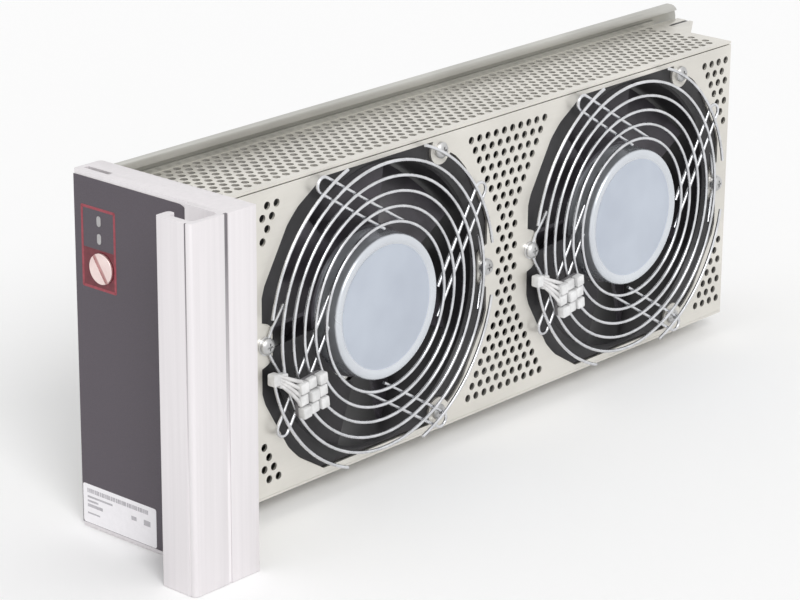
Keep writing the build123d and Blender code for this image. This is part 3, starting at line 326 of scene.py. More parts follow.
def satin_aluminium():
    """Pale extrusion: even satin with barely seen die lines along its height."""
    material, shader = finish("satin_aluminium", linear(229, 225, 227), 0.3, 0.45)
    lines = grain(material, 420, (1, 1, 0.02), 2.0)
    tint(material, lines, linear(225, 221, 223), linear(231, 227, 229), shader.inputs["Base Color"], 0.3, 0.7)
    spread(material, lines, 0.4, 0.5, shader.inputs["Roughness"])
    return material


def dark_film():
    """Front overlay: charcoal film with a fine matt grain."""
    material, shader = finish("dark_film", linear(80, 73, 81), 0.0, 0.5)
    speckle = grain(material, 2600, detail=2.0)
    tint(material, speckle, linear(75, 68, 76), linear(87, 80, 88), shader.inputs["Base Color"])
    relief(material, speckle, 0.00002, shader)
    return material


def printed(name, dark, light):
    """Flat ink or paper with a slight unevenness."""
    material, shader = finish(name, light, 0.0, 0.45)
    tint(material, grain(material, 400), dark, light, shader.inputs["Base Color"])
    return material


def painted_seam_shade():
    """Painted shade for the handle's seams: dark at the top and paling towards the foot."""
    material, shader = finish("seam_painted_shade", linear(108, 104, 108), 0.0, 0.6)
    nodes, links = material.node_tree.nodes, material.node_tree.links
    coordinates = nodes.new("ShaderNodeTexCoord")
    axes = nodes.new("ShaderNodeSeparateXYZ")
    height = nodes.new("ShaderNodeMapRange")
    height.inputs["From Min"].default_value = SEAM_PALE * MM
    height.inputs["From Max"].default_value = SEAM_DARK * MM
    links.new(coordinates.outputs["Object"], axes.inputs["Vector"])
    links.new(axes.outputs["Z"], height.inputs["Value"])
    tint(material, height.outputs["Result"], linear(234, 230, 232), linear(112, 108, 112),
         shader.inputs["Base Color"], 0.0, 1.0)
    return material


def black_paint(name, dark, light, roughness):
    """Black coat with a slight orange peel and patchy dust."""
    material, shader = finish(name, light, 0.0, roughness)
    dust = grain(material, 60, detail=6.0)
    tint(material, dust, dark, light, shader.inputs["Base Color"], 0.4, 0.75)
    peel = grain(material, 900, detail=1.0)
    relief(material, peel, 0.00005, shader)
    return material


def plated_metal(name, dark, light, rough_low, rough_high):
    """Bright plating with drifting gloss."""
    material, shader = finish(name, light, 1.0, rough_low)
    drift = grain(material, 120, detail=5.0)
    tint(material, drift, dark, light, shader.inputs["Base Color"])
    spread(material, drift, rough_low, rough_high, shader.inputs["Roughness"])
    return material


def cup_metal(name, dark, light, roughness):
    """Pressed cup with an even pale plating and a faint turned sheen."""
    material, shader = finish(name, light, 0.7, roughness)
    sheen = grain(material, 35, detail=2.0)
    tint(material, sheen, dark, light, shader.inputs["Base Color"], 0.3, 0.7)
    spread(material, sheen, roughness - 0.03, roughness + 0.03, shader.inputs["Roughness"])
    return material


def moulding(name, dark, light, roughness):
    """Moulded plastic with a faint sheen change."""
    material, shader = finish(name, light, 0.0, roughness)
    sheen = grain(material, 180, detail=3.0)
    tint(material, sheen, dark, light, shader.inputs["Base Color"])
    spread(material, sheen, roughness - 0.06, roughness + 0.08, shader.inputs["Roughness"])
    return material


def clear_lens():
    """Milky window with a clear coat."""
    material, shader = finish("clear_lens", linear(168, 166, 166), 0.0, 0.25)
    tint(material, grain(material, 300), linear(158, 156, 157), linear(180, 178, 178),
         shader.inputs["Base Color"])
    shader.inputs["Coat Weight"].default_value = 0.6
    return material


ZINC = zinc_plate("zinc_plate", linear(216, 213, 206), linear(230, 227, 220))
# Darker copies of the zinc plate: painted shade on the slide wall and the cover's upturn
ZINC_SHADED = zinc_plate("zinc_plate_painted_shade", linear(186, 185, 180), linear(202, 201, 196))
ZINC_DEEP_SHADED = zinc_plate("zinc_plate_painted_deep_shade", linear(168, 167, 161), linear(184, 183, 177))
ALUMINIUM = satin_aluminium()
FILM = dark_film()
FRAME_RED = printed("frame_red", linear(142, 54, 66), linear(160, 68, 80))
PATCH_RED = printed("patch_red", linear(100, 34, 44), linear(116, 44, 54))
LABEL_WHITE = printed("label_white", linear(240, 238, 241), linear(244, 242, 245))
LABEL_INK = printed("label_ink", linear(172, 169, 174), linear(192, 189, 194))
# Painted shade for the handle's seams, dark at the top and pale at the foot
SEAM_PAINTED_SHADE = painted_seam_shade()
FRAME_BLACK = black_paint("frame_black", linear(26, 25, 27), linear(44, 42, 45), 0.42)
BLADE_BLACK = black_paint("blade_black", linear(52, 49, 54), linear(80, 76, 83), 0.34)
# Black for the plates in the fans' mouths: painted shade
MOUTH_SHADE_BLACK = black_paint("mouth_painted_shade", linear(30, 28, 31), linear(46, 43, 47), 0.5)
NICKEL = plated_metal("nickel_wire", linear(204, 205, 208), linear(228, 229, 232), 0.22, 0.34)
STEEL = plated_metal("bright_steel", linear(178, 178, 178), linear(206, 206, 206), 0.34, 0.48)
STEEL_DULL = plated_metal("dull_steel", linear(118, 113, 112), linear(138, 133, 132), 0.45, 0.55)
CAP_DISC = cup_metal("cap_disc", linear(188, 195, 207), linear(198, 205, 216), 0.4)
# The rim's lighter colour is a painted highlight; its lower roughness is the real finish
CAP_RIM_LIT = cup_metal("cap_rim_painted_highlight", linear(208, 212, 218), linear(216, 220, 225), 0.25)
LOCK_FACE = plated_metal("lock_face", linear(236, 214, 211), linear(246, 228, 224), 0.4, 0.5)
# The slot floor's darker colour is painted shade
LOCK_SLOT_SHADE = plated_metal("lock_slot_painted_shade", linear(196, 164, 164), linear(212, 182, 180), 0.45, 0.55)
NYLON = moulding("white_nylon", linear(206, 206, 206), linear(230, 230, 230), 0.4)
# Grey for the plug's base: painted shade between the towers
NYLON_SHADED = moulding("nylon_painted_shade", linear(104, 102, 104), linear(124, 122, 124), 0.5)
SLEEVE = moulding("lead_sleeve", linear(196, 195, 195), linear(224, 223, 223), 0.38)
BLACK_PLASTIC = moulding("black_plastic", linear(34, 34, 36), linear(48, 48, 50), 0.45)
COPPER = plated_metal("winding_copper", linear(150, 84, 52), linear(190, 112, 72), 0.3, 0.45)
GOLD = plated_metal("contact_gold", linear(196, 158, 84), linear(222, 186, 110), 0.2, 0.32)
IRON = plated_metal("lamination_iron", linear(92, 92, 95), linear(126, 126, 129), 0.4, 0.55)
LAMINATE = moulding("green_laminate", linear(28, 88, 52), linear(40, 108, 66), 0.4)
JACKET = moulding("grey_jacket", linear(128, 128, 130), linear(150, 150, 151), 0.5)
LENS = clear_lens()

SLOT_FINISH = {
    "bezel_aluminium": ALUMINIUM, "overlay_film": FILM, "indicator_lens": LENS, "indicator_chip": LENS,
    "board_laminate": LAMINATE, "zinc_sheet": ZINC, "lock_metal": LOCK_FACE, "plated_steel": STEEL,
    "connector_body": BLACK_PLASTIC, "contact_metal": GOLD, "ribbon_jacket": JACKET,
    "fan_frame": FRAME_BLACK, "bearing_steel": STEEL, "motor_iron": IRON, "winding_copper": COPPER,
    "motor_cap": CAP_DISC, "rotor_iron": IRON, "shaft_steel": STEEL, "blade_black": BLADE_BLACK,
    "guard_wire": NICKEL, "plug_nylon": NYLON,
}


def dress_frame():
    """Every CAD node that stays in view gets the finish of its material slot."""
    for part in frame["record"]["subparts"]:
        mesh = frame["nodes"][part["node"]].data
        mesh.materials.clear()
        mesh.materials.append(SLOT_FINISH[part["material_slot"]])


# Shared modelling steps

def settle(name, bm, materials, body, nodes=(), smooth=35.0):
    """Turns a bmesh into a named piece that rides on its body and stands for its CAD nodes."""
    bmesh.ops.recalc_face_normals(bm, faces=bm.faces)
    mesh = bpy.data.meshes.new(name)
    bm.to_mesh(mesh)
    bm.free()
    for material in materials:
        mesh.materials.append(material)
    mesh.shade_smooth()
    mesh.set_sharp_from_angle(angle=math.radians(smooth))
    piece = bpy.data.objects.new(name, mesh)
    bpy.context.scene.collection.objects.link(piece)
    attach(piece, body)
    if nodes:
        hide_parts(*nodes)


def box_between(bm, low, high):
    """Block between two corners."""
    low, high = Vector(low), Vector(high)
    place = Matrix.Translation((low + high) / 2) @ Matrix.Diagonal((*(high - low), 1))
    return bmesh.ops.create_cube(bm, size=1, matrix=place)["verts"]


def round_edges(bm, edges, width, segments=2):
    bmesh.ops.bevel(
        bm, geom=edges, offset=width, offset_type="OFFSET", affect="EDGES", segments=segments,
        profile=0.5, material=-1, clamp_overlap=True)


def ring_of_edges(bm, points):
    """Closed outline through a list of points."""
    verts = [bm.verts.new(point) for point in points]
    return [bm.edges.new((verts[i - 1], verts[i])) for i in range(len(verts))]


def edges_of(verts):
    """Every edge that meets a set of corners, once and in a steady order."""
    return list(dict.fromkeys(edge for vert in verts for edge in vert.link_edges))


def thicken(bm, faces, offset):
    """Pulls a flat face set out into a sheet."""
    extruded = bmesh.ops.extrude_face_region(bm, geom=faces)["geom"]
    bmesh.ops.translate(bm, vec=offset, verts=[v for v in extruded if isinstance(v, bmesh.types.BMVert)])


def facing_x(place):
    """Lays a flat form across the X axis at a place."""
    return Matrix.Translation(place) @ Matrix.Rotation(math.pi / 2, 4, "Y")


def spin_about_x(bm, points, centre, steps):
    """Turns a string of points into a round form about the X axis through a centre."""
    verts = [bm.verts.new(point) for point in points]
    edges = [bm.edges.new(pair) for pair in zip(verts, verts[1:])]
    bmesh.ops.spin(
        bm, geom=verts + edges, cent=centre, axis=(1, 0, 0), angle=2 * math.pi, steps=steps, use_merge=True)


def fill_sheet(bm, edges, normal):
    """Fills the room between closed outlines."""
    bmesh.ops.triangle_fill(bm, use_beauty=True, use_dissolve=False, edges=edges, normal=normal)


def broken_edges(node, width):
    """A CAD node's shape with its sharp edges broken."""
    bm = bmesh.new()
    bm.from_mesh(frame["nodes"][node].data)
    bmesh.ops.remove_doubles(bm, verts=bm.verts, dist=0.000001)
    bmesh.ops.dissolve_limit(bm, angle_limit=math.radians(1), verts=bm.verts, edges=bm.edges)
    sharp = [e for e in bm.edges if len(e.link_faces) == 2 and e.calc_face_angle() > math.radians(40)]
    round_edges(bm, sharp, width * MM)
    return bm


def softened(node, body, width, material):
    """Stands a CAD node's shape with broken edges in its place."""
    settle(node + "_body", broken_edges(node, width), [material], body, [node])


# Punched sheets

def round_reach(along, up, across, height, radius):
    """Distance along a direction to the near side of a disc, or no limit where it misses."""
    ahead = along * across + up * height
    gap = radius ** 2 - (across ** 2 + height ** 2 - ahead ** 2)
    return ahead - math.sqrt(gap) if gap > 0 and ahead > 0 else FAN_RADIUS


def opening_reach(angle):
    """How far the fan opening reaches from its centre along one direction, in millimetres."""
    along, up = math.cos(angle), math.sin(angle)
    side, rise = abs(along), abs(up)
    reach = FAN_RADIUS
    for (y0, z0), (y1, z1) in zip(OPENING, OPENING[1:]):
        a, b = z0 - z1, y1 - y0
        if a * side + b * rise > 0:
            reach = min(reach, (a * y0 + b * z0) / (a * side + b * rise))
    if side > 0:
        tab = TAB_REACH / side
        height = tab * rise
        if height > TAB_HALF_HEIGHT - TAB_ROUND:
            tab = round_reach(side, rise, TAB_REACH + TAB_ROUND, TAB_HALF_HEIGHT - TAB_ROUND, TAB_ROUND)
        reach = min(reach, tab)
    return min(reach, round_reach(along, rise, *CORNER_TAB, CORNER_TAB_RADIUS))


def fan_opening(centre):
    """Outline of one fan opening with its screw tabs."""
    points = []
    for step in range(OPENING_STEPS):
        angle = 2 * math.pi * step / OPENING_STEPS
        reach = opening_reach(angle) * MM
        points.append((FACE_X, centre.y + reach * math.cos(angle), centre.z + reach * math.sin(angle)))
    return points


def clear_of_fan(y, z):
    """True where a hole keeps a sound edge to the fan behind the sheet."""
    room = HOLE_DIAMETER / 2 + HOLE_EDGE
    (y0, z0), (y1, z1) = OPENING[1:3]
    past = ((y - y0) * (z0 - z1) + (z - z0) * (y1 - y0)) / math.hypot(y1 - y0, z1 - z0)
    return math.hypot(y, z) > FAN_RADIUS + room or past > room


def panel_holes():
    """Staggered holes: a waisted field between the fans and a wedge in each corner."""
    holes = []
    for row in range(PANEL_ROWS):
        height = ((PANEL_ROWS - 1) / 2 - row) * ROW_PITCH
        edge_row = min(row, PANEL_ROWS - 1 - row)
        count = max(WAIST_TOP_COUNT - edge_row, WAIST_COUNT + edge_row % 2)
        places = [WAIST.y / MM + WAIST_SHIFT + (i - (count - 1) / 2) * HOLE_PITCH for i in range(count)]
        rear = [panel_high.y / MM - CORNER_INSET - (i + edge_row % 2 / 2) * HOLE_PITCH
                for i in range(CORNER_COUNT)]
        places += [y for y in rear if clear_of_fan(y - FANS[2].y / MM, abs(height))]
        first = FANS[1].y / MM - FRONT_REACH
        places += [first + (i + (edge_row + 1) % 2 / 2) * HOLE_PITCH
                   for i in range(FRONT_COUNT - edge_row // 2)]
        holes += [(FACE_X, y * MM, WAIST.z + height * MM) for y in places]
    return holes


def punch(bm, places, turn):
    """Outlines of round holes."""
    for place in places:
        bmesh.ops.create_circle(
            bm, segments=HOLE_SIDES, radius=HOLE_DIAMETER / 2 * MM, matrix=Matrix.Translation(place) @ turn)


def side_panel():
    """Sheet with its holes and fan openings, folded in at top, bottom and front."""
    bm = bmesh.new()
    bottom, top = panel_low.z, panel_high.z - SEAM * MM
    corners = [(panel_low.y, bottom), (panel_high.y, bottom), (panel_high.y, top), (panel_low.y, top)]
    ring_of_edges(bm, [(FACE_X, y, z) for y, z in corners])
    for centre in FANS.values():
        ring_of_edges(bm, fan_opening(centre))
    facing = Matrix.Rotation(math.pi / 2, 4, "Y")
    punch(bm, panel_holes(), facing)
    fill_sheet(bm, bm.edges, (1, 0, 0))
    thicken(bm, bm.faces[:], (-SHEET * MM, 0, 0))
    inner = FACE_X - SHEET * MM
    gap = LIP_END_GAP * MM
    for low in (bottom, top - SHEET * MM):
        box_between(
            bm, (inner - LIP * MM, panel_low.y + gap, low), (inner, panel_high.y - gap, low + SHEET * MM))
    box_between(
        bm, (panel_low.x, panel_low.y, panel_low.z + gap),
        (inner, panel_low.y + SHEET * MM, panel_high.z - gap))
    settle("punched_side_panel", bm, [ZINC], "chassis", ["fan_side_panel"])


def top_cover():
    """Sheet with staggered rows of holes, turned up against the slide wall."""
    bm = bmesh.new()
    top = WAIST.z + BOX_HALF_HEIGHT * MM
    corners = [(cover_low.x, cover_low.y), (cover_high.x, cover_low.y),
               (cover_high.x, cover_high.y), (cover_low.x, cover_high.y)]
    ring_of_edges(bm, [(x, y, top) for x, y in corners])
    length = (cover_high.y - cover_low.y) / MM - 2 * TOP_END_MARGIN
    columns = int(length / HOLE_PITCH)
    places = []
    for row in range(TOP_ROWS):
        x = cover_high.x - (TOP_MARGIN + row * TOP_ROW_PITCH) * MM
        for column in range(columns):
            y = cover_low.y + (TOP_END_MARGIN + (column + 0.5 + row % 2 / 2) * HOLE_PITCH) * MM
            places.append((x, y, top))
    punch(bm, places, Matrix())
    fill_sheet(bm, bm.edges, (0, 0, 1))
    thicken(bm, bm.faces[:], (0, 0, -SHEET * MM))
    upturn = box_between(
        bm, (cover_low.x, cover_low.y, top - SHEET * MM),
        (cover_low.x + SHEET * MM, cover_high.y, top + COVER_UPTURN * MM))
    # The upturn takes the darker zinc: painted shade
    for face in {face for vert in upturn for face in vert.link_faces}:
        face.material_index = 1
    settle("punched_top_cover", bm, [ZINC, ZINC_DEEP_SHADED], "chassis", ["top_cover"])


def rail_wall():
    """The slide wall with broken edges, its darker zinc tone painted shade, with deeper painted shade on the
    inner side below its hem.
    """
    bm = broken_edges("rail_wall", SHEET_ROUND)
    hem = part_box("rail_wall")[0].x + 2 * SHEET * MM
    # Painted shade: deeper zinc on the inner face below the hem, darker zinc elsewhere
    for face in bm.faces:
        face.material_index = 1 if face.normal.x > 0.9 and face.calc_center_median().x < hem else 0
    settle("rail_wall_body", bm, [ZINC_SHADED, ZINC_DEEP_SHADED], "chassis", ["rail_wall"])


# Fans

def wires(name, runs, radius=WIRE_RADIUS):
    """Round wires along a set of runs, each a list of points and whether it closes."""
    curve = bpy.data.curves.new(name, "CURVE")
    curve.dimensions = "3D"
    curve.bevel_depth = radius * MM
    curve.bevel_resolution = 4
    curve.use_fill_caps = True
    for points, closed in runs:
        spline = curve.splines.new("POLY")
        spline.points.add(len(points) - 1)
        for place, point in zip(spline.points, points):
            place.co = (*point, 1)
        spline.use_cyclic_u = closed
    holder = bpy.data.objects.new(name, curve)
    bpy.context.scene.collection.objects.link(holder)
    drawn = holder.evaluated_get(bpy.context.evaluated_depsgraph_get())
    mesh = bpy.data.meshes.new_from_object(drawn)
    bpy.data.objects.remove(holder)
    bm = bmesh.new()
    bm.from_mesh(mesh)
    return bm


def arc(radius, start, end, segments):
    """Points on an arc between two angles in degrees."""
    step = (end - start) / segments
    angles = [math.radians(start + i * step) for i in range(segments + 1)]
    return [(radius * math.cos(angle), radius * math.sin(angle)) for angle in angles]


def hairpin_run(turn):
    """U shaped carrier: out along one leg, round the loop and back along the other."""
    near, far = HAIRPIN_OFFSET - HAIRPIN_HALF, HAIRPIN_OFFSET + HAIRPIN_HALF
    points = [(math.sqrt(HAIRPIN_INNER ** 2 - near ** 2), -near)]
    points += [(HAIRPIN_END + y, z - HAIRPIN_OFFSET) for y, z in arc(HAIRPIN_HALF, 90, -90, 12)]
    points.append((HAIRPIN_START, -far))
    angle = math.radians(HAIRPIN_ANGLE + turn)
    along, up = math.cos(angle), math.sin(angle)
    return [(y * along - z * up, y * up + z * along) for y, z in points]


def add_tube(bm, place, outer, inner, length):
    """Short tube along X from a place, with radii in millimetres and length in metres."""
    turn = facing_x(place)
    loops = []
    for radius in (inner, outer):
        made = bmesh.ops.create_circle(bm, segments=HEAD_SEGMENTS, radius=radius * MM, matrix=turn)["verts"]
        loops += edges_of(made)
    faces = bmesh.ops.bridge_loops(bm, edges=loops)["faces"]
    thicken(bm, faces, (length, 0, 0))


def guard(number):
    """Welded finger guard: rings and side arcs on four hairpins, with two bent down screw ears."""
    centre = FANS[number]
    low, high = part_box(f"fan_{number}_guard")
    ring_x = high.x - RING_DEPTH * MM
    carrier_x = ring_x - WIRE_STEP * MM
    ear_x = low.x + WIRE_RADIUS * MM

    def at(x, points):
        return [(x, centre.y + y * MM, centre.z + z * MM) for y, z in points]

    runs = []
    for i in range(RING_COUNT):
        circle = arc(RING_FIRST + RING_PITCH * i, 0, 360, RING_SEGMENTS)[:-1]
        runs.append((at(ring_x, circle), True))
    outer = RING_FIRST + RING_PITCH * RING_COUNT
    start, end = OUTER_ARC
    for first, last in ((start, end), (-end, -start), (180 + start, 180 + end), (180 - end, 180 - start)):
        runs.append((at(ring_x, arc(outer, first, last, 24)), False))
    for i in range(HAIRPIN_COUNT):
        runs.append((at(carrier_x, hairpin_run(i * 360 / HAIRPIN_COUNT)), False))
    last = RING_FIRST + RING_PITCH * (RING_COUNT - 1)
    foot = Vector((last * math.cos(math.radians(EAR_ANGLE)), last * math.sin(math.radians(EAR_ANGLE))))
    screw = Vector((EAR_REACH, 0))
    ear = (foot, screw.lerp(foot, EAR_BEND), screw.lerp(foot, EAR_NEAR))
    for side in (-1, 1):
        for up in (-1, 1):
            flat = [(side * point.x, up * point.y) for point in ear]
            runs.append((at(carrier_x, flat[:1]) + at(ear_x, flat[1:]), False))
    name = f"wire_guard_{number}"
    bm = wires(name, runs)
    for side in (-1, 1):
        place = (low.x, centre.y + side * EAR_REACH * MM, centre.z)
        add_tube(bm, place, EYELET_RADIUS, EYELET_BORE, EYELET * MM)
    settle(name, bm, [NICKEL], "chassis", [f"fan_{number}_guard"])


def motor_cap(number):
    """Drawn cup: flat disc, soft groove, rounded rim and rolled shoulder, spun about the fan's axis; the
    rim's lighter colour is a painted highlight, its lower roughness the real finish.
    """
    centre = FANS[number]
    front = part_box(f"fan_{number}_rotor_cap")[1].x / MM
    disc = front - CAP_RECESS
    profile = [(disc, 0.0), (disc, CAP_DISC_RADIUS - CAP_GROOVE_START),
               (disc - CAP_GROOVE, CAP_DISC_RADIUS - CAP_GROOVE_END)]
    rise = CAP_CREST - CAP_DISC_RADIUS
    for step in range(7):
        share = step / 6
        profile.append((disc + CAP_RECESS * math.sin(share * math.pi / 2), CAP_DISC_RADIUS + rise * share))
    profile += [(front - CAP_ROUND + x, CAP_RADIUS - CAP_ROUND + r) for r, x in arc(CAP_ROUND, 90, 0, 8)]
    back, inside, inner = front - CAP_LENGTH, front - CAP_FLOOR, CAP_RADIUS - CAP_WALL
    profile += [(back, CAP_RADIUS), (back, inner), (inside, inner), (inside, 0.0)]
    bm = bmesh.new()
    spin_about_x(bm, [(x * MM, centre.y, centre.z + r * MM) for x, r in profile], centre, CAP_STEPS)
    bmesh.ops.remove_doubles(bm, verts=bm.verts, dist=0.000005)
    # The rim takes the lighter colour: a painted highlight
    for face in bm.faces:
        spot = face.calc_center_median()
        radius = math.hypot(spot.y - centre.y, spot.z - centre.z) / MM
        face.material_index = 1 if radius > CAP_DISC_RADIUS else 0
    settle(f"motor_cap_{number}", bm, [CAP_DISC, CAP_RIM_LIT], f"fan_{number}_rotor",
           [f"fan_{number}_rotor_cap"])


def silo(bm, x, y, z, height):
    """Square tower with broken edges."""
    reach = SILO_SIDE / 2 * MM
    made = box_between(bm, (x, y - reach, z - reach), (x + height, y + reach, z + reach))
    round_edges(bm, edges_of(made), SILO_ROUND * MM)


def lead_plug(number):
    """Nylon plug clipped askew on the guard: a square base with nine towers; the base's grey is painted shade
    between the towers.
    """
    low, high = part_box(f"fan_{number}_lead_plug")
    centre = (low + high) / 2
    half = PLUG_FOOT / 2 * MM
    bm = bmesh.new()
    box_between(bm, (low.x, -half, -half), (low.x + PLUG_BASE * MM, half, half))
    round_edges(bm, bm.edges[:], PLUG_ROUND * MM)
    # The base is grey: painted shade between the towers
    for face in bm.faces:
        face.material_index = 1
    pitch = PLUG_SIDE / PLUG_CELLS * MM
    for cell, height in enumerate(SILO_HEIGHTS):
        y = (cell % PLUG_CELLS - 1) * pitch
        z = (cell // PLUG_CELLS - 1) * pitch
        silo(bm, low.x + PLUG_BASE * MM * SILO_START, y, z, height * MM)
    turn = Matrix.Rotation(math.radians(PLUG_TURN), 4, "X")
    bmesh.ops.transform(bm, matrix=Matrix.Translation((0, centre.y, centre.z)) @ turn, verts=bm.verts)
    settle(f"lead_plug_{number}_shell", bm, [NYLON, NYLON_SHADED], "chassis",
           [f"fan_{number}_lead_plug"])


def smooth_run(knots, steps):
    """Points on a flowing line through every knot."""
    padded = [knots[0], *knots, knots[-1]]
    points = []
    for before, start, end, after in zip(padded, padded[1:], padded[2:], padded[3:]):
        for step in range(steps):
            t = step / steps
            pull = (end - before) * t + (2 * before - 5 * start + 4 * end - after) * t ** 2
            points.append(start + (pull + (3 * start - 3 * end + after - before) * t ** 3) / 2)
    return [tuple(point) for point in points + knots[-1:]]


def fan_leads(number):
    """Sleeved leads that leave the plug's side and gather in the clip."""
    centre, foot = FANS[number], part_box(f"fan_{number}_lead_plug")[0].x
    name = f"fan_leads_{number}"
    runs = []
    for lead in range(LEAD_COUNT):
        start, end = (first - step * lead for first, step in (LEAD_STARTS, LEAD_ENDS))
        knots = []
        for knot, (x, y) in enumerate(LEAD_RUN):
            rise = start + (end - start) * knot / (len(LEAD_RUN) - 1)
            knots.append(Vector((foot + x * MM, centre.y + y * MM, centre.z + rise * MM)))
        runs.append((smooth_run(knots, LEAD_STEPS), False))
    settle(name, wires(name, runs, LEAD_RADIUS), [SLEEVE], "chassis")


def lead_clip(number):
    """Two nylon blocks that hold the leads, snapped over the guard's outer wires."""
    centre, front = FANS[number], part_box(f"fan_{number}_guard")[1].x
    foot = front - CLIP_GRIP * MM
    bm = bmesh.new()
    for left, right, low, high, reach in CLIP_BLOCKS:
        box_between(bm, (foot, centre.y + left * MM, centre.z + low * MM),
                    (front + reach * MM, centre.y + right * MM, centre.z + high * MM))
    round_edges(bm, bm.edges[:], CLIP_ROUND * MM)
    settle(f"lead_clip_{number}", bm, [NYLON], "chassis")


def fan_mouth_shade(number):
    """Painted shade: thin black plate in the fan's mouth behind the plug, clear of the blades, dark where the
    tray's inside lies in shade.
    """
    centre = FANS[number]
    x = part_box(f"fan_{number}_housing")[1].x - SHADE_PLATE_INSET * MM
    inner, outer = SHADE_PLATE_RADII
    outline = arc(outer, *SHADE_PLATE_ARC, 24) + arc(inner, *reversed(SHADE_PLATE_ARC), 24)
    bm = bmesh.new()
    bm.faces.new([bm.verts.new((x, centre.y + y * MM, centre.z + z * MM)) for y, z in outline])
    thicken(bm, bm.faces[:], (-SHADE_PLATE * MM, 0, 0))
    settle(f"fan_mouth_shade_{number}", bm, [MOUTH_SHADE_BLACK], "chassis")


# Screws

def pan_head(bm, place):
    """Domed head seen along X with a cross recess sunk in its top."""
    x, y, z = place
    profile = [(HEAD_HEIGHT * rise, HEAD_RADIUS * reach) for rise, reach in HEAD_STEPS]
    profile.append((HEAD_HEIGHT, RECESS_SIZE / 2))
    spin_about_x(bm, [(x + a * MM, y, z + r * MM) for a, r in profile], place, HEAD_SEGMENTS)


def cross(bm, place):
    """Closes the head's flat top round a cross shaped recess and sinks the recess."""
    x, y, z = place
    half, width = RECESS_SIZE / 2 * MM * RECESS_REACH, RECESS_WIDTH / 2 * MM
    outline = []
    for turn in range(4):
        angle = turn * math.pi / 2
        along, up = math.cos(angle), math.sin(angle)
        for u, v in ((half, -width), (half, width), (width, width)):
            outline.append((x, y + u * along - v * up, z + u * up + v * along))
    inner = ring_of_edges(bm, outline)
    rim = bmesh.ops.create_circle(
        bm, segments=HEAD_SEGMENTS, radius=RECESS_SIZE / 2 * MM, matrix=facing_x(place))["verts"]
    fill_sheet(bm, inner + edges_of(rim), (1, 0, 0))
    sunk = bmesh.ops.extrude_edge_only(bm, edges=inner)["geom"]
    moved = [v for v in sunk if isinstance(v, bmesh.types.BMVert)]
    bmesh.ops.translate(bm, vec=(-RECESS_DEPTH * MM, 0, 0), verts=moved)
    bmesh.ops.contextual_create(bm, geom=moved)


def screw_heads(name, node, places):
    """A set of screws whose heads seat at the given places."""
    bm = bmesh.new()
    for place in places:
        pan_head(bm, place)
        top = place[0] + HEAD_HEIGHT * MM
        cross(bm, (top, place[1], place[2]))
        shank = facing_x((place[0] - SHANK_LENGTH / 2 * MM, place[1], place[2]))
        bmesh.ops.create_cone(
            bm, cap_ends=True, segments=SHANK_SEGMENTS, radius1=SHANK_RADIUS * MM, radius2=SHANK_RADIUS * MM,
            depth=SHANK_LENGTH * MM, matrix=shank)
    bmesh.ops.remove_doubles(bm, verts=bm.verts, dist=0.000002)
    settle(name, bm, [STEEL], "chassis", [node])


def fan_screws():
    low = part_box("fan_screws")[1].x - HEAD_HEIGHT * MM
    places = [(low, c.y + side * EAR_REACH * MM, c.z) for c in FANS.values() for side in (-1, 1)]
    screw_heads("fan_screw_heads", "fan_screws", places)


def corner_screws():
    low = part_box("corner_screws")[1].x - HEAD_HEIGHT * MM
    across, up = CORNER_TAB
    places = [(low, c.y + across * MM, c.z + side * up * MM) for c in FANS.values() for side in (-1, 1)]
    screw_heads("corner_screw_heads", "corner_screws", places)


# Painted shade in the seams

def seam_strips():
    """Painted shade: dark strips in the seam behind the handle's side, the groove beside its lip and the
    guide's slot.
    """
    low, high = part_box("pull_handle")
    bottom, top = low.z + SEAM_END_GAP * MM, high.z - SEAM_END_GAP * MM
    bm = bmesh.new()
    box_between(bm, (high.x - SEAM_DEPTH * MM, high.y - SEAM_WIDTH * MM, bottom),
                (high.x - SEAM_SUNK * MM, high.y, top))
    groove, half = high.x - GROOVE_INSET * MM, GROOVE_WIDTH / 2 * MM
    box_between(bm, (groove - half, low.y + GROOVE_SUNK * MM, bottom),
                (groove + half, low.y + GROOVE_DEPTH * MM, top))
    settle("handle_seam_painted_shade", bm, [SEAM_PAINTED_SHADE], "chassis")
    low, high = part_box("guide_bracket")
    middle_x, half = low.x + GUIDE_SLOT_INSET * MM, GUIDE_SLOT_WIDTH / 2 * MM
    # Black strip in the guide's slot: painted shade
    bm = bmesh.new()
    box_between(bm, (middle_x - half, high.y - GUIDE_SLOT_LENGTH * MM, high.z - SLOT_SHADE_BOTTOM * MM),
                (middle_x + half, high.y - SLOT_SHADE_END * MM, high.z - SLOT_SHADE_TOP * MM))
    settle("guide_slot_painted_shade", bm, [BLACK_PLASTIC], "chassis")


# Front prints

def front_spot(x, z):
    """A place on the overlay's face, from millimetres out from the side panel and up from the box."""
    return FACE_X + x * MM, BOX_BASE + z * MM


def plate(bm, left, right, low, high, rounding):
    """Flat rounded shape on the overlay, facing forwards."""
    corners = [front_spot(x, z) for x, z in ((left, low), (right, low), (right, high), (left, high))]
    verts = [bm.verts.new((x, overlay_low.y, z)) for x, z in corners]
    bm.faces.new(verts)
    bmesh.ops.bevel(
        bm, geom=verts, offset=rounding * MM, offset_type="OFFSET", affect="VERTICES", segments=5,
        profile=0.5, material=-1)


def red_frame():
    """Printed outline round the lock and the windows."""
    bm = bmesh.new()
    plate(bm, FRAME_LEFT, FRAME_RIGHT, FRAME_LOW, FRAME_HIGH, FRAME_ROUND)
    middle_faces = bm.faces[:]
    bmesh.ops.inset_region(
        bm, faces=middle_faces, thickness=FRAME_LINE * MM, use_even_offset=True, use_boundary=True)
    bmesh.ops.delete(bm, geom=middle_faces, context="FACES_ONLY")
    thicken(bm, bm.faces[:], (0, -PRINT * MM, 0))
    settle("red_frame_line", bm, [FRAME_RED], "chassis")


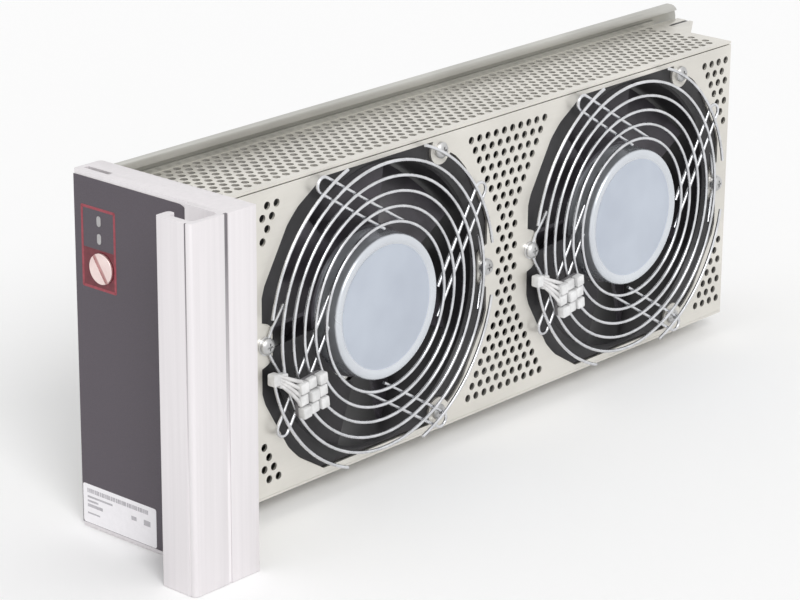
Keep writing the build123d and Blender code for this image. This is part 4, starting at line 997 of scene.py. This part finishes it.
def red_patch():
    """Deeper field behind the lock, cut clear of its shank."""
    bm = bmesh.new()
    left, right = FRAME_LEFT + FRAME_LINE, FRAME_RIGHT - FRAME_LINE
    low, high = FRAME_LOW + FRAME_LINE, PATCH_HIGH
    corners = [front_spot(x, z) for x, z in ((left, low), (right, low), (right, high), (left, high))]
    ring_of_edges(bm, [(x, overlay_low.y, z) for x, z in corners])
    place = Matrix.Translation((LOCK.x, overlay_low.y, LOCK.z)) @ Matrix.Rotation(math.pi / 2, 4, "X")
    bmesh.ops.create_circle(bm, segments=40, radius=PATCH_HOLE * MM, matrix=place)
    fill_sheet(bm, bm.edges, (0, -1, 0))
    thicken(bm, bm.faces[:], (0, -PRINT / 2 * MM, 0))
    settle("red_patch", bm, [PATCH_RED], "chassis")


def white_label():
    """Plain label with grey bars in place of print."""
    bm = bmesh.new()
    plate(bm, LABEL_LEFT, LABEL_RIGHT, LABEL_LOW, LABEL_HIGH, LABEL_ROUND)
    thicken(bm, bm.faces[:], (0, -PRINT * MM, 0))
    settle("white_label", bm, [LABEL_WHITE], "chassis")
    bm = bmesh.new()
    for left, right, low, high in LABEL_BARS:
        (x0, z0), (x1, z1) = front_spot(left, low), front_spot(right, high)
        box_between(bm, (x0, overlay_low.y - 1.5 * PRINT * MM, z0), (x1, overlay_low.y - PRINT / 2 * MM, z1))
    settle("label_bars", bm, [LABEL_INK], "chassis")


def lock_head():
    """The lock screw with broken edges and painted shade on the floor of its slot."""
    bm = broken_edges("lock_screw", LOCK_ROUND)
    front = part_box("lock_screw")[0].y
    # Painted shade: the slot's floor takes the darker colour
    for face in bm.faces:
        spot = face.calc_center_median()
        reach = math.hypot(spot.x - LOCK.x, spot.z - LOCK.z) / MM
        sunk = LOCK_SLOT_START * MM < spot.y - front < LOCK_SLOT_END * MM
        face.material_index = 1 if reach < LOCK_SLOT_REACH and sunk else 0
    settle("turn_lock_head", bm, [LOCK_FACE, LOCK_SLOT_SHADE], "lock", ["lock_screw"])


# Stage

def studio():
    """Even white room with one soft window."""
    scene = bpy.context.scene
    scene.view_settings.view_transform = "Standard"
    world = bpy.data.worlds.new("soft_room")
    scene.world = world
    world.use_nodes = True
    nodes, links = world.node_tree.nodes, world.node_tree.links
    nodes.clear()
    path = nodes.new("ShaderNodeLightPath")
    seen = nodes.new("ShaderNodeMath")
    seen.operation = "MAXIMUM"
    strength = nodes.new("ShaderNodeMapRange")
    strength.inputs["To Min"].default_value = ROOM_STRENGTH
    strength.inputs["To Max"].default_value = 1.0
    room = nodes.new("ShaderNodeBackground")
    out = nodes.new("ShaderNodeOutputWorld")
    links.new(path.outputs["Is Camera Ray"], seen.inputs[0])
    links.new(path.outputs["Is Glossy Ray"], seen.inputs[1])
    links.new(seen.outputs["Value"], strength.inputs["Value"])
    links.new(strength.outputs["Result"], room.inputs["Strength"])
    links.new(room.outputs["Background"], out.inputs["Surface"])
    room.inputs["Color"].default_value = (1, 1, 1, 1)
    lamp = bpy.data.lights.new("window", "SUN")
    lamp.energy = WINDOW_STRENGTH
    lamp.angle = math.radians(WINDOW_SPREAD)
    window = bpy.data.objects.new("window", lamp)
    window.rotation_euler = Vector(WINDOW_AIM).to_track_quat("-Z", "Y").to_euler()
    scene.collection.objects.link(window)


def floor():
    """Plain pale ground just under the bezel."""
    bm = bmesh.new()
    level = Matrix.Translation((0, 0, BASE_Z - FLOOR_GAP))
    bmesh.ops.create_grid(bm, x_segments=1, y_segments=1, size=FLOOR_HALF, matrix=level)
    mesh = bpy.data.meshes.new("floor")
    bm.to_mesh(mesh)
    bm.free()
    material, shader = finish("pale_floor", [FLOOR_TONE] * 3, 0.0, 0.8)
    shader.inputs["Specular IOR Level"].default_value = 0.1
    mesh.materials.append(material)
    ground = bpy.data.objects.new("floor", mesh)
    bpy.context.scene.collection.objects.link(ground)


def camera():
    """Views the tray from the photograph's place."""
    azimuth, elevation, roll = (math.radians(a) for a in (CAMERA_AZIMUTH, CAMERA_ELEVATION, CAMERA_ROLL))
    level = math.cos(elevation)
    back = Vector((math.sin(azimuth) * level, -math.cos(azimuth) * level, math.sin(elevation)))
    right = Vector((math.cos(azimuth), math.sin(azimuth), 0))
    up = back.cross(right)
    turned = Matrix((right, up, back)).transposed().to_4x4() @ Matrix.Rotation(roll, 4, "Z")
    data = bpy.data.cameras.new("photo_camera")
    data.sensor_fit = "HORIZONTAL"
    data.sensor_width = 36
    data.lens = CAMERA_LENS
    viewer = bpy.data.objects.new("photo_camera", data)
    viewer.matrix_world = Matrix.Translation(CAMERA_PLACE) @ turned
    bpy.context.scene.collection.objects.link(viewer)
    bpy.context.scene.camera = viewer


dress_frame()
side_panel()
top_cover()
for fan in FANS:
    guard(fan)
    motor_cap(fan)
    lead_plug(fan)
    fan_leads(fan)
    lead_clip(fan)
    fan_mouth_shade(fan)
fan_screws()
corner_screws()
seam_strips()
red_frame()
red_patch()
white_label()
lock_head()
for node in ("front_bezel", "pull_handle"):
    softened(node, "chassis", EDGE_ROUND, ALUMINIUM)
rail_wall()
softened("guide_bracket", "chassis", SHEET_ROUND, ZINC)
softened("rear_connector", "chassis", SHEET_ROUND, BLACK_PLASTIC)
softened("latch_tongue", "tongue", SHEET_ROUND, STEEL_DULL)
studio()
floor()
camera()
